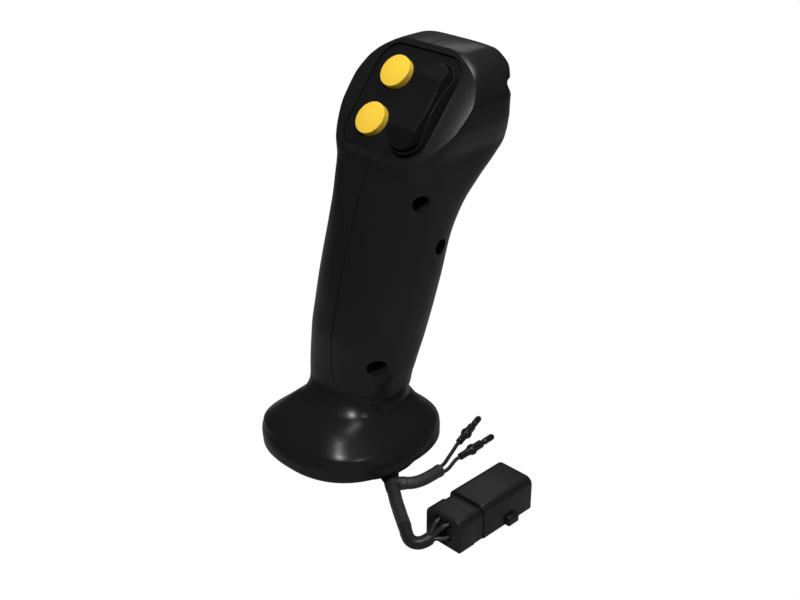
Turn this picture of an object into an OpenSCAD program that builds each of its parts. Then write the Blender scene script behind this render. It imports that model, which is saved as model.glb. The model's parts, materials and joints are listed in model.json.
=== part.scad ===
// Multifunction control grip: two-part moulded handle with a tilted switch face,
// two push buttons, one rocker, a turned shaft adapter and a floor-laid harness.
// Millimetres. Z up, +X is the cover side, -Y faces the operator, Z = 0 is the foot.

/* [Handle] */
// length of the hand section between the flared base and the head
grip_len = 92; // [90:1:96]
// width of the hand section at its widest
grip_w = 57.2; // [56:0.2:60]
// width of the head at its widest
head_w = 75.6; // [75:0.2:79]
// width of the flared palm rest, across X
flange_w = 79.2; // [77:0.2:82]
// depth of the flared palm rest, along Y
flange_d = 85; // [83:0.5:88]
// moulded wall of the handle
wall = 3; // [2.6:0.1:3.2]
// height of the cover's lower edge above the underside of the palm rest
seam_z = 32; // [31:0.5:34]
// corner radius where that edge turns into the parting line
seam_r = 10; // [8:0.5:12]

/* [Switch face] */
// tilt of the switch face from the horizontal
face_tilt = 49.1; // [48.6:0.1:49.6]
// width of the face plate
plate_w = 51.4; // [51:0.2:53]
// length of the face plate
plate_l = 53.4; // [53:0.2:55]
// thickness of the face plate
plate_t = 2.5; // [2.2:0.1:3]
// corner radius of the face plate
plate_r = 10.5; // [9:0.5:11.5]
// height of the surrounding rim above the face plate
rim_h = 2; // [1.6:0.1:2.2]

/* [Push buttons] */
// diameter of a button cap
btn_d = 16.2; // [15.6:0.1:16.6]
// height of a cap's edge above the face plate
btn_rise = 3; // [2.8:0.1:3.4]
// full travel of a button
btn_travel = 2.4; // [2:0.1:2.6]
// distance between the two buttons
btn_pitch = 24.9; // [24.4:0.1:25.4]
// distance of the button column from the parting plane
btn_x = 10.9; // [10.6:0.1:11.2]

/* [Rocker] */
// width of the rocker cap
rk_w = 17.4; // [16.8:0.1:17.6]
// length of the rocker cap
rk_l = 44; // [43:0.5:44.5]
// height of the cap's two cross ridges above the face plate
rk_h = 10.2; // [9.8:0.1:10.6]
// diameter of the pivot pin
rk_pin_d = 2.5; // [2:0.1:3]
// swing of the rocker to each side, in degrees
rk_swing = 7; // [5:0.5:7.5]
// distance of the rocker from the parting plane
rk_x = 15.3; // [15.2:0.1:15.6]
// width of the tub under the rocker, which passes through the face plate
rk_tub_w = 12; // [11:0.2:13.4]
// length of that tub
rk_tub_l = 40; // [36:0.5:45]

/* [Fasteners] */
// thread diameter of the cover screws
scr_d = 4; // [3.5:0.1:4]
// head diameter of the cover screws
scr_head_d = 7; // [6.6:0.1:7.2]
// depth of the counterbore floor from the parting plane
scr_seat = 6; // [5:0.5:7]

/* [Shaft adapter] */
// height of the adapter, which is also the foot of the grip
foot_h = 12; // [11.5:0.5:14]
// outer diameter of the adapter ring
foot_d = 59; // [57:0.5:60]
// bore for the joystick shaft
shaft_d = 12; // [10:0.5:14]
// pitch circle of the four adapter screws
foot_pcd = 41; // [40:0.5:42]

/* [Harness] */
// diameter of the long sleeve
slv1_d = 6.4; // [6:0.1:6.6]
// diameter of the short sleeve
slv2_d = 5.6; // [5.2:0.1:5.8]
// diameter of a single wire
wire_d = 2.2; // [2:0.1:2.3]
// width of the sealed connector
con_w = 21.4; // [20.8:0.1:22]
// length of the sealed connector
con_l = 48; // [47:0.5:49]
// height of the sealed connector
con_h = 17.6; // [17:0.1:18.2]

/* [Hidden] */
$fn = 48;
fit = 0.15;          // gap around a piece that is set into another
run = 0.05;          // radial running clearance of a pin or stem
seat_gap = 0.02;     // gap between two seated flat faces
part_gap = 0.5;      // open width of the parting line
seam_gap = 0.15;     // gap of the cover's lower edge
flare_h = 36;        // height of the flared base
ledge = 2.5;         // thickness of the ledge that carries the face plate
flange_y = -6;       // centre of the palm rest, seen from the shaft axis at the origin
zt = foot_h;                         // underside of the palm rest
zg = zt + flare_h;                   // start of the hand section
zh = zg + grip_len;                  // start of the head
NR = 40;                             // points around a section of the handle

// ---- switch face: local x across, y up the face, z out of it ----
face_y = 50;                         // top edge of the face, seen from the palm rest's centre
face_z = zh + 51.8;
face_c = cos(face_tilt) * (face_z) - sin(face_tilt) * face_y;
plate_v = -22.7;                     // centre of the plate along the face
btn_v1 = -10.2;                      // upper button
btn_v2 = btn_v1 - btn_pitch;         // lower button
rk_v = -23.7;                        // rocker
rk_pin_n = 4;                        // height of the rocker's pivot above the plate

// ---- sections of the handle: [z, half width, front y, back y, front power, back power] ----
function on_face(z, depth = 0) = (cos(face_tilt) * z - face_c - rim_h + depth) / sin(face_tilt);
FLARE = [[0, .975, .974, .974, 2.35], [1.2, 1, 1, 1, 2.35], [10, 1, 1, 1, 2.4], [12, .990, .988, .988, 2.5],
         [14.5, .945, .940, .942, 2.65], [18, .862, .850, .862, 2.85], [21, .785, .750, .776, 2.95], [24, .722, .622, .682, 2.9]];
GRIP = [[27, .955, -20.5, 26.8, 2.8], [31, .944, -15.8, 26.4, 2.55], [36, .945, -13.8, 27.6, 2.4], [42, .955, -13.2, 30.0, 2.3],
        [55, .975, -12.1, 37.0, 2.3], [70, .99, -9.7, 43.1, 2.3], [85, 1, -5.9, 48.1, 2.35], [100, 1, -1.5, 52.6, 2.4],
        [115, 1.02, 3.4, 60.2, 2.55]];
HEAD = [[0, .812, 8.5, 71.0, 3.0, 3.0], [8, .842, 12.2, 77.6, 3.6, 3.4], [15.3, .880, 0, 80.8, 4.2, 3.8], [22, .942, 0, 79.8, 4.6, 4.0],
        [30, .990, 0, 77.4, 5.0, 4.2], [38, 1, 0, 76.2, 5.2, 4.3], [46, .957, 0, 76.8, 5.4, 4.4], [51, .868, 0, 77.8, 5.5, 4.4],
        [55, .720, 0, 77.0, 5.6, 4.4], [57.4, .540, 0, 73.6, 5.6, 4.4], [58.4, .380, 0, 69.6, 5.6, 4.4]];
function grip_z(z) = z <= flare_h ? zt + z : zg + (z - flare_h) * grip_len / 92;
SKIN = concat(
    [for (s = FLARE) [zt + s[0], s[1] * flange_w / 2, -s[2] * flange_d / 2, s[3] * flange_d / 2, s[4], s[4]]],
    [for (s = GRIP) [grip_z(s[0]), s[1] * grip_w / 2, s[2], s[3], s[4], s[4]]],
    [for (s = HEAD) [zh + s[0], s[1] * head_w / 2, s[2] == 0 ? on_face(zh + s[0]) : s[2], s[3], s[4], s[5]]]);
// the same sections drawn in by the wall, and behind the plate and its ledge in the head
face_in = plate_t + ledge + rim_h;
HOLLOW = concat(
    [for (s = [[30, .944, -16.4, 26.4, 2.6], GRIP[2], GRIP[3], GRIP[4], GRIP[5], GRIP[6], GRIP[7], GRIP[8]])
        [grip_z(s[0]), s[1] * grip_w / 2 - wall, s[2] + wall + .3, s[3] - wall, s[4], s[4]]],
    [for (i = [0:7]) let (s = HEAD[i]) [zh + s[0], s[1] * head_w / 2 - wall,
        s[2] == 0 ? on_face(zh + s[0], face_in) : s[2] + (i == 0 ? wall + 1 : face_in - 1), s[3] - wall, s[4], s[5]]],
    [[zh + 58.4 - wall - 1, .7 * head_w / 2 - wall, on_face(zh + 58.4 - wall - 1, face_in), 77 - wall - 1.5, 5.5, 4.4]]);
function spt(s, a) = let (c = cos(a), q = sin(a), n = q < 0 ? s[4] : s[5], b = (s[3] - s[2]) / 2,
    k = pow(pow(abs(c), n) + pow(abs(q), n), -1 / n)) [s[1] * c * k, flange_y + (s[2] + s[3]) / 2 + b * q * k, s[0]];
module loft(S, n = NR) {
    m = len(S);
    polyhedron(points = [for (s = S) for (i = [0:n - 1]) spt(s, 360 * (i + .5) / n)],
        faces = concat([[for (i = [0:n - 1]) i]], [[for (i = [n - 1:-1:0]) (m - 1) * n + i]],
            [for (j = [0:m - 2]) for (i = [0:n - 1]) let (k = (i + 1) % n) [j * n + i, (j + 1) * n + i, j * n + k]],
            [for (j = [0:m - 2]) for (i = [0:n - 1]) let (k = (i + 1) % n) [j * n + k, (j + 1) * n + i, (j + 1) * n + k]]),
        convexity = 8);
}

// ---- cover screws: [y, z] of the four axes ----
SCR = [[-4, zt + 47.2], [32.5, zh - 28.5], [19.8, zh - 3.5], [69.5, zh + 42.5]];
cb_d = scr_head_d + 1;               // counterbore
boss_d = cb_d + 3;
ins_d = scr_d + 1.8;                 // brass insert
ins_l = 8;

// ---- shaft adapter ----
adp_wall = 4;
hub_d = shaft_d + 7;
adp_floor = 2;
adp_head = 4;                        // screw head's height
adp_cb = adp_head + .4;              // depth of its counterbore
foot_a = 20;                         // first screw's direction, clear of the gland and the clamp
FOOT_SCR = [for (k = [0:3]) foot_pcd / 2 * [cos(foot_a + 90 * k), sin(foot_a + 90 * k)]];
nut_d = shaft_d + 8;                 // bore above the adapter for the shaft's end and nut
well_d = 34;                         // well above it, where the wires spread
well_z = zt + 9;
WIRE_HOLE = [14.3, -.3];             // the wires pass down beside the shaft
wire_hole_d = 8;

module face() translate([0, flange_y + face_y, face_z]) rotate([face_tilt, 0, 0]) children();
module rrect(w, l, r) {
    square([w - 2 * r, l], center = true);
    square([w, l - 2 * r], center = true);
    for (x = [-1, 1], y = [-1, 1]) translate([x * (w / 2 - r), y * (l / 2 - r)]) circle(r);
}
module stadium(w, l) { square([w, l - w], center = true); for (s = [-1, 1]) translate([0, s * (l - w) / 2]) circle(w / 2); }
module along_x(x0, x1, d) translate([x0, 0, 0]) rotate([0, 90, 0]) cylinder(d = d, h = x1 - x0);
module at_screws() for (p = SCR) translate([0, flange_y + p[0], p[1]]) children();
module cover_zone(gx, gz) rotate([90, 0, 0]) linear_extrude(260, center = true) {
    translate([seam_r, zt + seam_z + gz]) square([80, 260]);
    translate([gx, zt + seam_z + seam_r]) square([80, 260]);
    translate([seam_r + gx / 2, zt + seam_z + seam_r]) circle(seam_r - max(gx / 2, gz));
}
module hollow() difference() { loft(HOLLOW, 32); at_screws() along_x(-60, 60, boss_d); }
// opening behind the plate: wide and long enough for the rocker's clip and the button housings
clip_rim = .8;                       // how far the rocker's clip stands out from its tub
hsg_d = btn_d + 2.6;                 // button housing
open_side = .1;                      // clearance at the sides of the opening
open_end = 1.3;                      // clearance at its ends
open_w = 2 * (max(rk_x + rk_tub_w / 2, btn_x + hsg_d / 2) + clip_rim + open_side);
open_l = 2 * (max(plate_v - rk_v + rk_tub_l / 2 + clip_rim, btn_v1 - plate_v + hsg_d / 2,
    plate_v - btn_v2 + hsg_d / 2) + open_end);
module pocket() face() translate([0, plate_v, 0]) {
    translate([0, 0, -plate_t]) linear_extrude(plate_t + rim_h + 8) rrect(plate_w + 2 * fit, plate_l + 2 * fit, plate_r + fit);
    translate([0, 0, -24]) linear_extrude(24) rrect(open_w, open_l, plate_r - 3.5);
}

// one moulding: the left half of the grip and the whole palm rest
module main_body() color([.13, .13, .14]) difference() {
    loft(SKIN);
    cover_zone(0, 0);
    hollow();
    pocket();
    at_screws() along_x(-ins_l - 3, 1, ins_d);
    translate([0, 0, well_z]) cylinder(d = well_d, h = 24);
    translate([0, 0, zt - 1]) cylinder(d = nut_d, h = 12);
    translate([WIRE_HOLE[0], WIRE_HOLE[1], zt - 1]) cylinder(d = wire_hole_d, h = 12);
    for (p = FOOT_SCR) translate([p[0], p[1], zt - 1]) cylinder(d = ins_d, h = ins_l + 1);
    // cored underside of the palm rest, between its ribs
    difference() {
        translate([0, 0, zt - 1]) linear_extrude(9) difference() {
            polygon([for (i = [0:NR - 1]) let (q = spt([0, flange_w / 2 - 3.6, -flange_d / 2 + 3.6, flange_d / 2 - 3.6, 2.4, 2.4], 360 * (i + .5) / NR)) [q[0], q[1]]]);
            circle(d = foot_d + 3);
        }
        translate([0, 0, zt]) for (a = [0:30:330]) rotate(a) translate([0, -1, -2]) cube([60, 2, 12]);
    }
}
// the right half of the grip and head, held by four screws
module right_cover() color([.13, .13, .14]) difference() {
    intersection() { loft(SKIN); cover_zone(part_gap, seam_gap); }
    hollow();
    pocket();
    at_screws() { along_x(-1, 60, scr_d + .4); along_x(scr_seat, 60, cb_d); }
}

// ---- cords: round-number points that each one follows ----
LONG_SLEEVE = [[41.2, -18, 3.6], [44, -20, 3.4], [48, -23, 3.4], [53, -26.4, 3.4], [58, -29.8, 3.5],
    [62, -32.4, 3.6], [65.4, -34.6, 3.6]];
SHORT_SLEEVE = [[41.6, -9.6, 3.4], [43, -7.6, 3.2], [44.4, -4.4, 3.1], [45.2, 0, 3.1], [45.4, 5, 3.2], [45.4, 9.4, 3.2]];
WIRE_1 = [[67.7, -34.7, 4.6], [69.4, -35.6, 4.5], [72, -36.6, 4.5], [74.6, -36.8, 4.6], [76.6, -36, 5.2],
    [78.2, -34, 6.8], [79.4, -31.4, 9], [80.3, -28.6, 11.6], [80.5, -26.4, 12.6]];
WIRE_2 = [[66.5, -36.7, 4.6], [68.6, -37.9, 4.5], [72, -39.2, 4.5], [75.6, -39.6, 4.6], [78.8, -38.6, 5.2],
    [81.4, -36.2, 6.6], [83.8, -33, 8.8], [85.8, -29.4, 11.6], [86.5, -26.4, 12.6]];
WIRE_3 = [[67.7, -34.7, 2.3], [69.4, -35.6, 2.2], [72, -36.6, 2.2], [74.8, -36.8, 2.2], [77, -35.8, 2.3],
    [78.6, -33.8, 2.6], [79.6, -31.4, 3.4], [80.3, -28.8, 4.8], [80.5, -26.4, 5.4]];
WIRE_4 = [[66.5, -36.7, 2.3], [68.6, -37.9, 2.2], [72, -39.2, 2.2], [75.8, -39.6, 2.2], [79.2, -38.6, 2.3],
    [82, -36.2, 2.6], [84.4, -33, 3.4], [86, -29.6, 4.6], [86.5, -26.4, 5.4]];
LEAD_A = [[44.3, 10.1, 3.8], [43.6, 12.6, 3.2], [42, 17, 2.5], [39.8, 22, 2.3], [37.8, 27, 2.4], [36, 31.6, 2.8], [35, 34.6, 2.9]];
LEAD_B = [[46.5, 10.1, 2.6], [46.6, 12.4, 2.1], [46, 15.8, 2], [45, 19.2, 2.3], [44.3, 22.4, 2.8], [44.2, 25.2, 2.9]];
INNER = [[-6, 56, 164], [-5, 50, 150], [-4, 40, 138], [-3, 28, 127], [-2, 19.6, 118], [-1, 15.4, 108], [0, 12, 96],
    [0, 8.6, 80], [0, 5.6, 62], [1, 3.6, 50], [4.6, 2, 41], [9, .8, 34], [12.6, 0, 27.6], [13.8, -.3, 22], [14.2, -.4, 17],
    [15, -.8, 12.6], [17, -2, 9.2], [20.4, -4.2, 7.2], [24.5, -6.84, 6.42]];
lead_d = 1.7;                        // the two thin leads of the short branch
inner_d = 4.6;                       // bundle inside the grip
cord_in = 1.6;                       // how far a sleeve is pushed into its ring
touch = .35;                         // gap between a cord's end and what it meets
GL0 = [24.6, -6.9, 6.4];             // strain relief: inner end, and the way it points
GL_DIR = [12.9, -8.3, -2.45] / norm([12.9, -8.3, -2.45]);
gl_len = 12;
fork = 15.9;                         // distance from there to the fork of the harness
JOINT = GL0 + GL_DIR * fork;
con_x = 83.5;                        // connector's middle, across X
con_y = -27.9;                       // its rear face
con_lift = .05;
con_rear_l = 14.5;

function fair(P) = concat([for (i = [0:len(P) - 2]) for (t = [0, .5])
    let (a = P[max(i - 1, 0)], b = P[i], c = P[i + 1], d = P[min(i + 2, len(P) - 1)])
    t == 0 ? b : (9 * (b + c) - a - d) / 16], [P[len(P) - 1]]);
function unit(v) = v / norm(v);
// round tube of n sides along the points P; up fixes its twist
module tube(P, d, n = 8, up = [0, 0, 1]) {
    m = len(P);
    polyhedron(points = [for (j = [0:m - 1]) let (t = unit(P[min(j + 1, m - 1)] - P[max(j - 1, 0)]), s = unit(cross(t, up)), w = cross(s, t))
            for (i = [0:n - 1]) P[j] + d / 2 * (cos(360 * i / n) * s + sin(360 * i / n) * w)],
        faces = concat([[for (i = [0:n - 1]) i]], [[for (i = [n - 1:-1:0]) (m - 1) * n + i]],
            [for (j = [0:m - 2]) for (i = [0:n - 1]) let (k = (i + 1) % n) [j * n + i, (j + 1) * n + i, j * n + k]],
            [for (j = [0:m - 2]) for (i = [0:n - 1]) let (k = (i + 1) % n) [j * n + k, (j + 1) * n + i, (j + 1) * n + k]]),
        convexity = 6);
}
module coil(r, wire, h, turns) tube([for (i = [0:turns * 10]) let (a = 36 * i) [r * cos(a), r * sin(a), wire / 2 + (h - wire) * min(1, max(0, (i - 5) / (turns * 10 - 10)))]], wire, 5);
// turned piece along a direction from a point
module aim(p, v) translate(p) rotate([0, acos(v[2] / norm(v)), atan2(v[1], v[0])]) children();
module at_button(v) face() translate([-btn_x, v, 0]) children();
module at_rocker() face() translate([rk_x, rk_v, 0]) children();

// ---- fasteners of the handle ----
module cap_screw(d, head, h, l) { cylinder(d = d, h = l); translate([0, 0, l]) difference() { cylinder(d = head, h = h); translate([0, 0, h / 2]) cylinder(d = head * .52, h = h, $fn = 6); } }
module cover_screws() color([.3, .3, .32]) at_screws() translate([scr_seat + seat_gap - (scr_seat + ins_l - 1), 0, 0]) rotate([0, 90, 0]) cap_screw(scr_d, scr_head_d, scr_d, scr_seat + ins_l - 1);
module insert(d, l) difference() { cylinder(d = d - .04, h = l); translate([0, 0, -1]) cylinder(d = scr_d + .08, h = l + 2); for (z = [.3, .65]) translate([0, 0, l * z]) rotate_extrude() translate([d / 2 + .1, 0]) circle(.45, $fn = 16); }
module cover_inserts() color([.72, .58, .3]) at_screws() translate([-ins_l - .3, 0, 0]) rotate([0, 90, 0]) insert(ins_d, ins_l);

// ---- face plate with its switch openings and two screw posts ----
rk_wall = .9;
POST = [[-19.4, -22.7], [-2.2, -22.7]];
post_d = 4.6;
hsg_floor = -9.2;
hsg_end = -15.8;
post_l = -hsg_end - plate_t;
module face_plate() color([.13, .13, .14]) face() difference() {
    union() {
        translate([0, plate_v, -plate_t]) linear_extrude(plate_t) rrect(plate_w, plate_l, plate_r);
        for (p = POST) translate([p[0], p[1], -plate_t - post_l]) cylinder(d = post_d, h = post_l + 1);
    }
    for (v = [btn_v1, btn_v2]) translate([-btn_x, v, -plate_t - 1]) cylinder(d = btn_d + 2 * fit, h = plate_t + 2);
    translate([rk_x, rk_v, -plate_t - 1]) linear_extrude(plate_t + 2) stadium(rk_tub_w + 2 * fit, rk_tub_l + 2 * fit);
    for (p = POST) translate([p[0], p[1], -plate_t - post_l - 1]) cylinder(d = 1.9, h = 9);
}

// ---- push button: cap, stem, return spring, housing, snap switch ----
skirt = 4.5;                         // depth of the cap's skirt below the plate's top
stem_d = 4.2;
plunger_d = 3;                       // snap switch's own plunger
stem_end = hsg_end + .35 + btn_travel;
sw_top = hsg_end - 1.7;
module button_cap(v) color([.93, .76, .16]) at_button(v) difference() {
    union() {
        translate([0, 0, -skirt]) cylinder(d = btn_d, h = skirt + btn_rise - .4);
        translate([0, 0, btn_rise - .4]) rotate_extrude() intersection() { square([btn_d / 2, 2]); union() { square([btn_d / 2 - .4, .4]); translate([btn_d / 2 - .4, 0]) circle(.4, $fn = 24); translate([0, .4 - 44.4]) circle(45.3, $fn = 360); } }
    }
    translate([0, 0, -skirt - 1]) cylinder(d = btn_d - 3, h = skirt + 1 + btn_rise - 1.8);
}
cap_in = btn_rise - 1.8;             // underside of the cap's top
module button_stem(v) color([.13, .13, .14]) at_button(v) { translate([0, 0, stem_end]) cylinder(d = stem_d, h = cap_in - stem_end - seat_gap); translate([0, 0, cap_in - 1.2 - seat_gap]) cylinder(d = 6.4, h = 1.2); }
module button_spring(v) color([.75, .76, .78]) at_button(v) translate([0, 0, hsg_floor + .05]) coil(4.6, .7, cap_in - hsg_floor - .12, 5);
module button_housing(v) color([.13, .13, .14]) at_button(v) difference() {
    translate([0, 0, hsg_end]) cylinder(d = hsg_d, h = -plate_t - seat_gap - hsg_end);
    translate([0, 0, hsg_floor]) cylinder(d = btn_d + 2 * fit, h = 20);
    translate([0, 0, hsg_end - 1]) cylinder(d = stem_d + 2 * run, h = 20);
    for (a = [0:60:300]) rotate(a) translate([hsg_d / 2, 0, hsg_end - 1]) cylinder(d = 1.6, h = 5.5);
}
module button_switch(v) color([.16, .2, .3]) at_button(v) {
    translate([-6.4, -3, sw_top - seat_gap - 6.5]) cube([12.8, 6, 6.5]);
    translate([0, 0, sw_top - 1]) cylinder(d = plunger_d, h = hsg_end + .2 - sw_top + 1);
}
module button_terminals(v) color([.75, .7, .5]) at_button(v) for (x = [-5, 0, 5]) translate([x - .3, -1.2, sw_top - seat_gap - 6.5 - 3.6 - seat_gap]) cube([.6, 2.4, 3.6]);
// carrier that holds the two housings and snap switches against the plate
module button_carrier() color([.13, .13, .14]) face() difference() {
    translate([-btn_x, (btn_v1 + btn_v2) / 2, hsg_end - seat_gap - 1.6]) linear_extrude(1.6) rrect(hsg_d + 2 * clip_rim, btn_pitch + 15, 4);
    for (v = [btn_v1, btn_v2]) translate([-btn_x, v, hsg_end - 5]) cylinder(d = stem_d + 1, h = 8);
    for (p = POST) translate([p[0], p[1], hsg_end - 5]) cylinder(d = 2.3, h = 8);
}
module carrier_screws() color([.3, .3, .32]) face() for (p = POST) translate([p[0], p[1], hsg_end - seat_gap - 1.6 - seat_gap]) { translate([0, 0, -1.4]) cylinder(d = 3.8, h = 1.4); cylinder(d = 1.8, h = 7); }

// ---- rocker: cap on a pivot pin in a frame, two springs, snap switches ----
rk_end = 5.4;                        // height of the cap's end walls' top edge
rk_dip = 8.7;                        // height of the hollow between the ridges
ridge = 12.9;                        // distance of each ridge from the pivot
rk_under = 1.6;                      // clearance under the cap's hub
rk_slot = rk_w + 2 * fit;
frame_w = rk_slot + 2 * rk_wall; frame_l = rk_l + 2 * fit + 2 * rk_wall + .4;
frame_t = 1.1;
tub_floor = -13;
rk_arm = 11;                         // springs, legs and plungers, from the pivot
rk_hollow = 6.4;                     // underside of the cap's top
leg_end = -9;
module rk_side() polygon(concat([[-rk_l / 2 - 1, 4.7], [-rk_l / 2, rk_end], [-ridge, rk_h]],
    [for (i = [1:7]) let (s = -ridge + 2 * ridge * i / 8) [s, rk_dip + (rk_h - rk_dip) * pow(s / ridge, 2)]],
    [[ridge, rk_h], [rk_l / 2, rk_end], [rk_l / 2 + 1, 4.7], [2.4, rk_under], [-2.4, rk_under]]));
module across(w) translate([-w / 2, 0, 0]) rotate([90, 0, 90]) linear_extrude(w) children();
module rocker_cap() color([.15, .15, .16]) at_rocker() {
    for (s = [-rk_arm, rk_arm]) translate([0, s, leg_end]) cylinder(d = 2.6, h = rk_hollow - leg_end + .5);
    rocker_shell();
}
module rocker_shell() difference() {
    intersection() { linear_extrude(14) stadium(rk_w, rk_l); across(rk_w + 2) rk_side(); }
    difference() { translate([0, 0, -1]) linear_extrude(1 + rk_hollow) stadium(rk_w - 3.2, rk_l - 5); across(rk_w) translate([-3.2, -2]) square([6.4, 12]); }
    translate([0, 0, rk_pin_n]) along_x(-rk_w, rk_w, rk_pin_d + 2 * run);
    for (s = [15.6, 18.4]) translate([0, s, rk_h - (s - ridge) * (rk_h - rk_end) / (rk_l / 2 - ridge)]) cube([rk_w + 2, .6, .8], center = true);
}
module rocker_frame() color([.13, .13, .14]) at_rocker() difference() {
    union() {
        intersection() {
            translate([0, 0, seat_gap]) linear_extrude(8) stadium(frame_w, frame_l);
            across(frame_w + 2) polygon(concat([[-30, 0], [-30, 3.2]], [for (i = [0:8]) let (s = -ridge - 4 + (ridge + 4) * i / 4) [s, 3.2 + 3.3 * (1 - pow(s / (ridge + 4), 2))]], [[30, 3.2], [30, 0]]));
        }
        translate([0, 0, tub_floor - 1.2]) linear_extrude(-tub_floor + 1.4) stadium(rk_tub_w, rk_tub_l);
    }
    translate([0, 0, frame_t]) linear_extrude(12) stadium(rk_slot, rk_l + 2 * fit + .4);
    translate([0, 0, tub_floor]) linear_extrude(20) stadium(rk_tub_w - 2.6, rk_tub_l - 2.6);
    translate([0, 0, rk_pin_n]) along_x(-frame_w, frame_w, rk_pin_d + .04);
    for (s = [-rk_arm, rk_arm]) translate([0, s, tub_floor - 3]) cylinder(d = 4.4, h = 6);
}
module rocker_pin() color([.7, .7, .72]) at_rocker() translate([0, 0, rk_pin_n]) along_x(-frame_w / 2 + .1, frame_w / 2 - .1, rk_pin_d);
module rocker_clip() color([.3, .3, .32]) at_rocker() translate([0, 0, -plate_t - seat_gap - 1.5]) linear_extrude(1.5) difference() {
    stadium(rk_tub_w + 2 * clip_rim, rk_tub_l + 2 * clip_rim);
    stadium(rk_tub_w + .1, rk_tub_l + .1);
}
module rocker_spring(s) color([.75, .76, .78]) at_rocker() translate([0, s * rk_arm, tub_floor + .05]) coil(3.4, .7, rk_hollow - tub_floor - .12, 6);
module rocker_switches() color([.16, .2, .3]) at_rocker() for (s = [-rk_arm, rk_arm]) {
    translate([-4, s - 6.4, tub_floor - 1.2 - seat_gap - 7]) cube([8, 12.8, 7]);
    translate([0, s, tub_floor - 2]) cylinder(d = 3.6, h = 2 + leg_end - 1.6 - tub_floor);
}
module rocker_terminals() color([.75, .7, .5]) at_rocker() for (s = [-rk_arm, rk_arm], v = [-4.6, 0, 4.6]) translate([-1.2, s + v - .3, tub_floor - 1.2 - 2 * seat_gap - 7 - 3.4]) cube([2.4, .6, 3.4]);

// ---- shaft adapter: turned foot with the shaft's bore, four screws and a clamp screw ----
clamp_a = -41;
clamp_z = 7.6;
clamp_d = 5;
clamp_key = 3;                       // hex socket of the clamp screw
foot_top = foot_h - seat_gap;
foot_screw_l = foot_h + ins_l - 1.5 - adp_cb;
module adapter() color([.2, .2, .21]) difference() {
    union() {
        difference() {
            cylinder(d = foot_d, h = foot_top, $fn = 96);
            translate([0, 0, adp_floor]) cylinder(d = foot_d - 2 * adp_wall, h = foot_h, $fn = 96);
        }
        cylinder(d = hub_d, h = foot_top);
        rotate(clamp_a) translate([shaft_d / 2 + 1, -4, 0]) cube([foot_d / 2 - shaft_d / 2 - 3, 8, foot_top - .6]);
        for (p = FOOT_SCR) translate(p) cylinder(d = scr_head_d + 2.6, h = foot_top);
    }
    translate([0, 0, -1]) cylinder(d = shaft_d, h = foot_h + 2);
    for (p = FOOT_SCR) translate([p[0], p[1], -1]) {
        cylinder(d = scr_d + .4, h = foot_h + 2);
        cylinder(d = scr_head_d + .5, h = adp_cb + 1);
    }
    translate([0, 0, clamp_z]) rotate(clamp_a) along_x(shaft_d / 2 - 3, foot_d / 2 + 3, clamp_d + 2 * run);
    aim(GL0, GL_DIR) translate([0, 0, -1]) cylinder(d = 8.6, h = 12);
}
module clamp_screw() color([.3, .3, .32]) translate([0, 0, clamp_z]) rotate(clamp_a) difference() {
    along_x(shaft_d / 2 + .1, foot_d / 2 + 1.6, clamp_d);
    translate([foot_d / 2 - .6, 0, 0]) rotate([0, 90, 0]) cylinder(d = clamp_key, h = 3, $fn = 6);
}
module adapter_screws() color([.3, .3, .32]) for (p = FOOT_SCR)
    translate([p[0], p[1], adp_cb - seat_gap + foot_screw_l]) rotate([180, 0, 0]) cap_screw(scr_d, scr_head_d, adp_head, foot_screw_l);
module adapter_inserts() color([.72, .58, .3]) for (p = FOOT_SCR) translate([p[0], p[1], zt + seat_gap]) insert(ins_d, ins_l - .6);

// ---- harness ----
module inner_harness() color([.12, .12, .13]) tube(INNER, inner_d, 8, [1, 0, 0]);
module strain_relief() color([.12, .12, .13]) aim(GL0, GL_DIR) difference() {
    rotate_extrude() polygon([[0, 0], [4.25, 0], [4.25, 6.2], [5.2, 6.2], [5.2, 7.4], [4, gl_len], [0, gl_len]]);
    for (z = [8.4, 9.7, 11]) translate([0, 0, z]) difference() { cylinder(d = 12, h = .5); cylinder(d = 7.2, h = .5); }
}
boot_d = 7.6;                        // moulded fork, at its middle
// one of its three arms: it narrows from the middle to a flat end
module boot_arm(v, l, d) aim(JOINT, v) for (i = [0:2]) hull() for (k = [i, i + 1])
    translate([0, 0, k / 3 * (l - .1)]) cylinder(d = d + (boot_d - d) * pow(1 - k / 3, 2), h = .1, $fn = 32);
module breakout_boot() color([.12, .12, .13]) {
    translate(JOINT) sphere(d = boot_d, $fn = 32);
    boot_arm(-GL_DIR, fork - gl_len - seat_gap, 7.2);
    for (b = [[LONG_SLEEVE[0], 7.1], [SHORT_SLEEVE[0], 6.4]])
        boot_arm(b[0] - JOINT, norm(b[0] - JOINT) - touch, b[1]);
}
// collar shrunk over the end of a sleeve
module ring(P, d, beyond) let (e = P[len(P) - 1], u = unit(e - P[len(P) - 2])) aim(e - u * cord_in, u) difference() {
    cylinder(d = d + .7, h = cord_in + beyond);
    translate([0, 0, -1]) cylinder(d = d + .2, h = 1 + cord_in + seat_gap);
}
module long_sleeve() color([.12, .12, .13]) tube(fair(LONG_SLEEVE), slv1_d, 10);
module short_sleeve() color([.12, .12, .13]) tube(fair(SHORT_SLEEVE), slv2_d, 10);
module long_ring() color([.16, .16, .17]) ring(LONG_SLEEVE, slv1_d, 1.8);
module short_ring() color([.16, .16, .17]) ring(SHORT_SLEEVE, slv2_d, .4);
module wire_1() color([.12, .12, .13]) tube(fair(WIRE_1), wire_d);
module wire_2() color([.12, .12, .13]) tube(fair(WIRE_2), wire_d);
module wire_3() color([.12, .12, .13]) tube(fair(WIRE_3), wire_d);
module wire_4() color([.12, .12, .13]) tube(fair(WIRE_4), wire_d);
module lead_a() color([.12, .12, .13]) tube(fair(LEAD_A), lead_d);
module lead_b() color([.12, .12, .13]) tube(fair(LEAD_B), lead_d);

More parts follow.
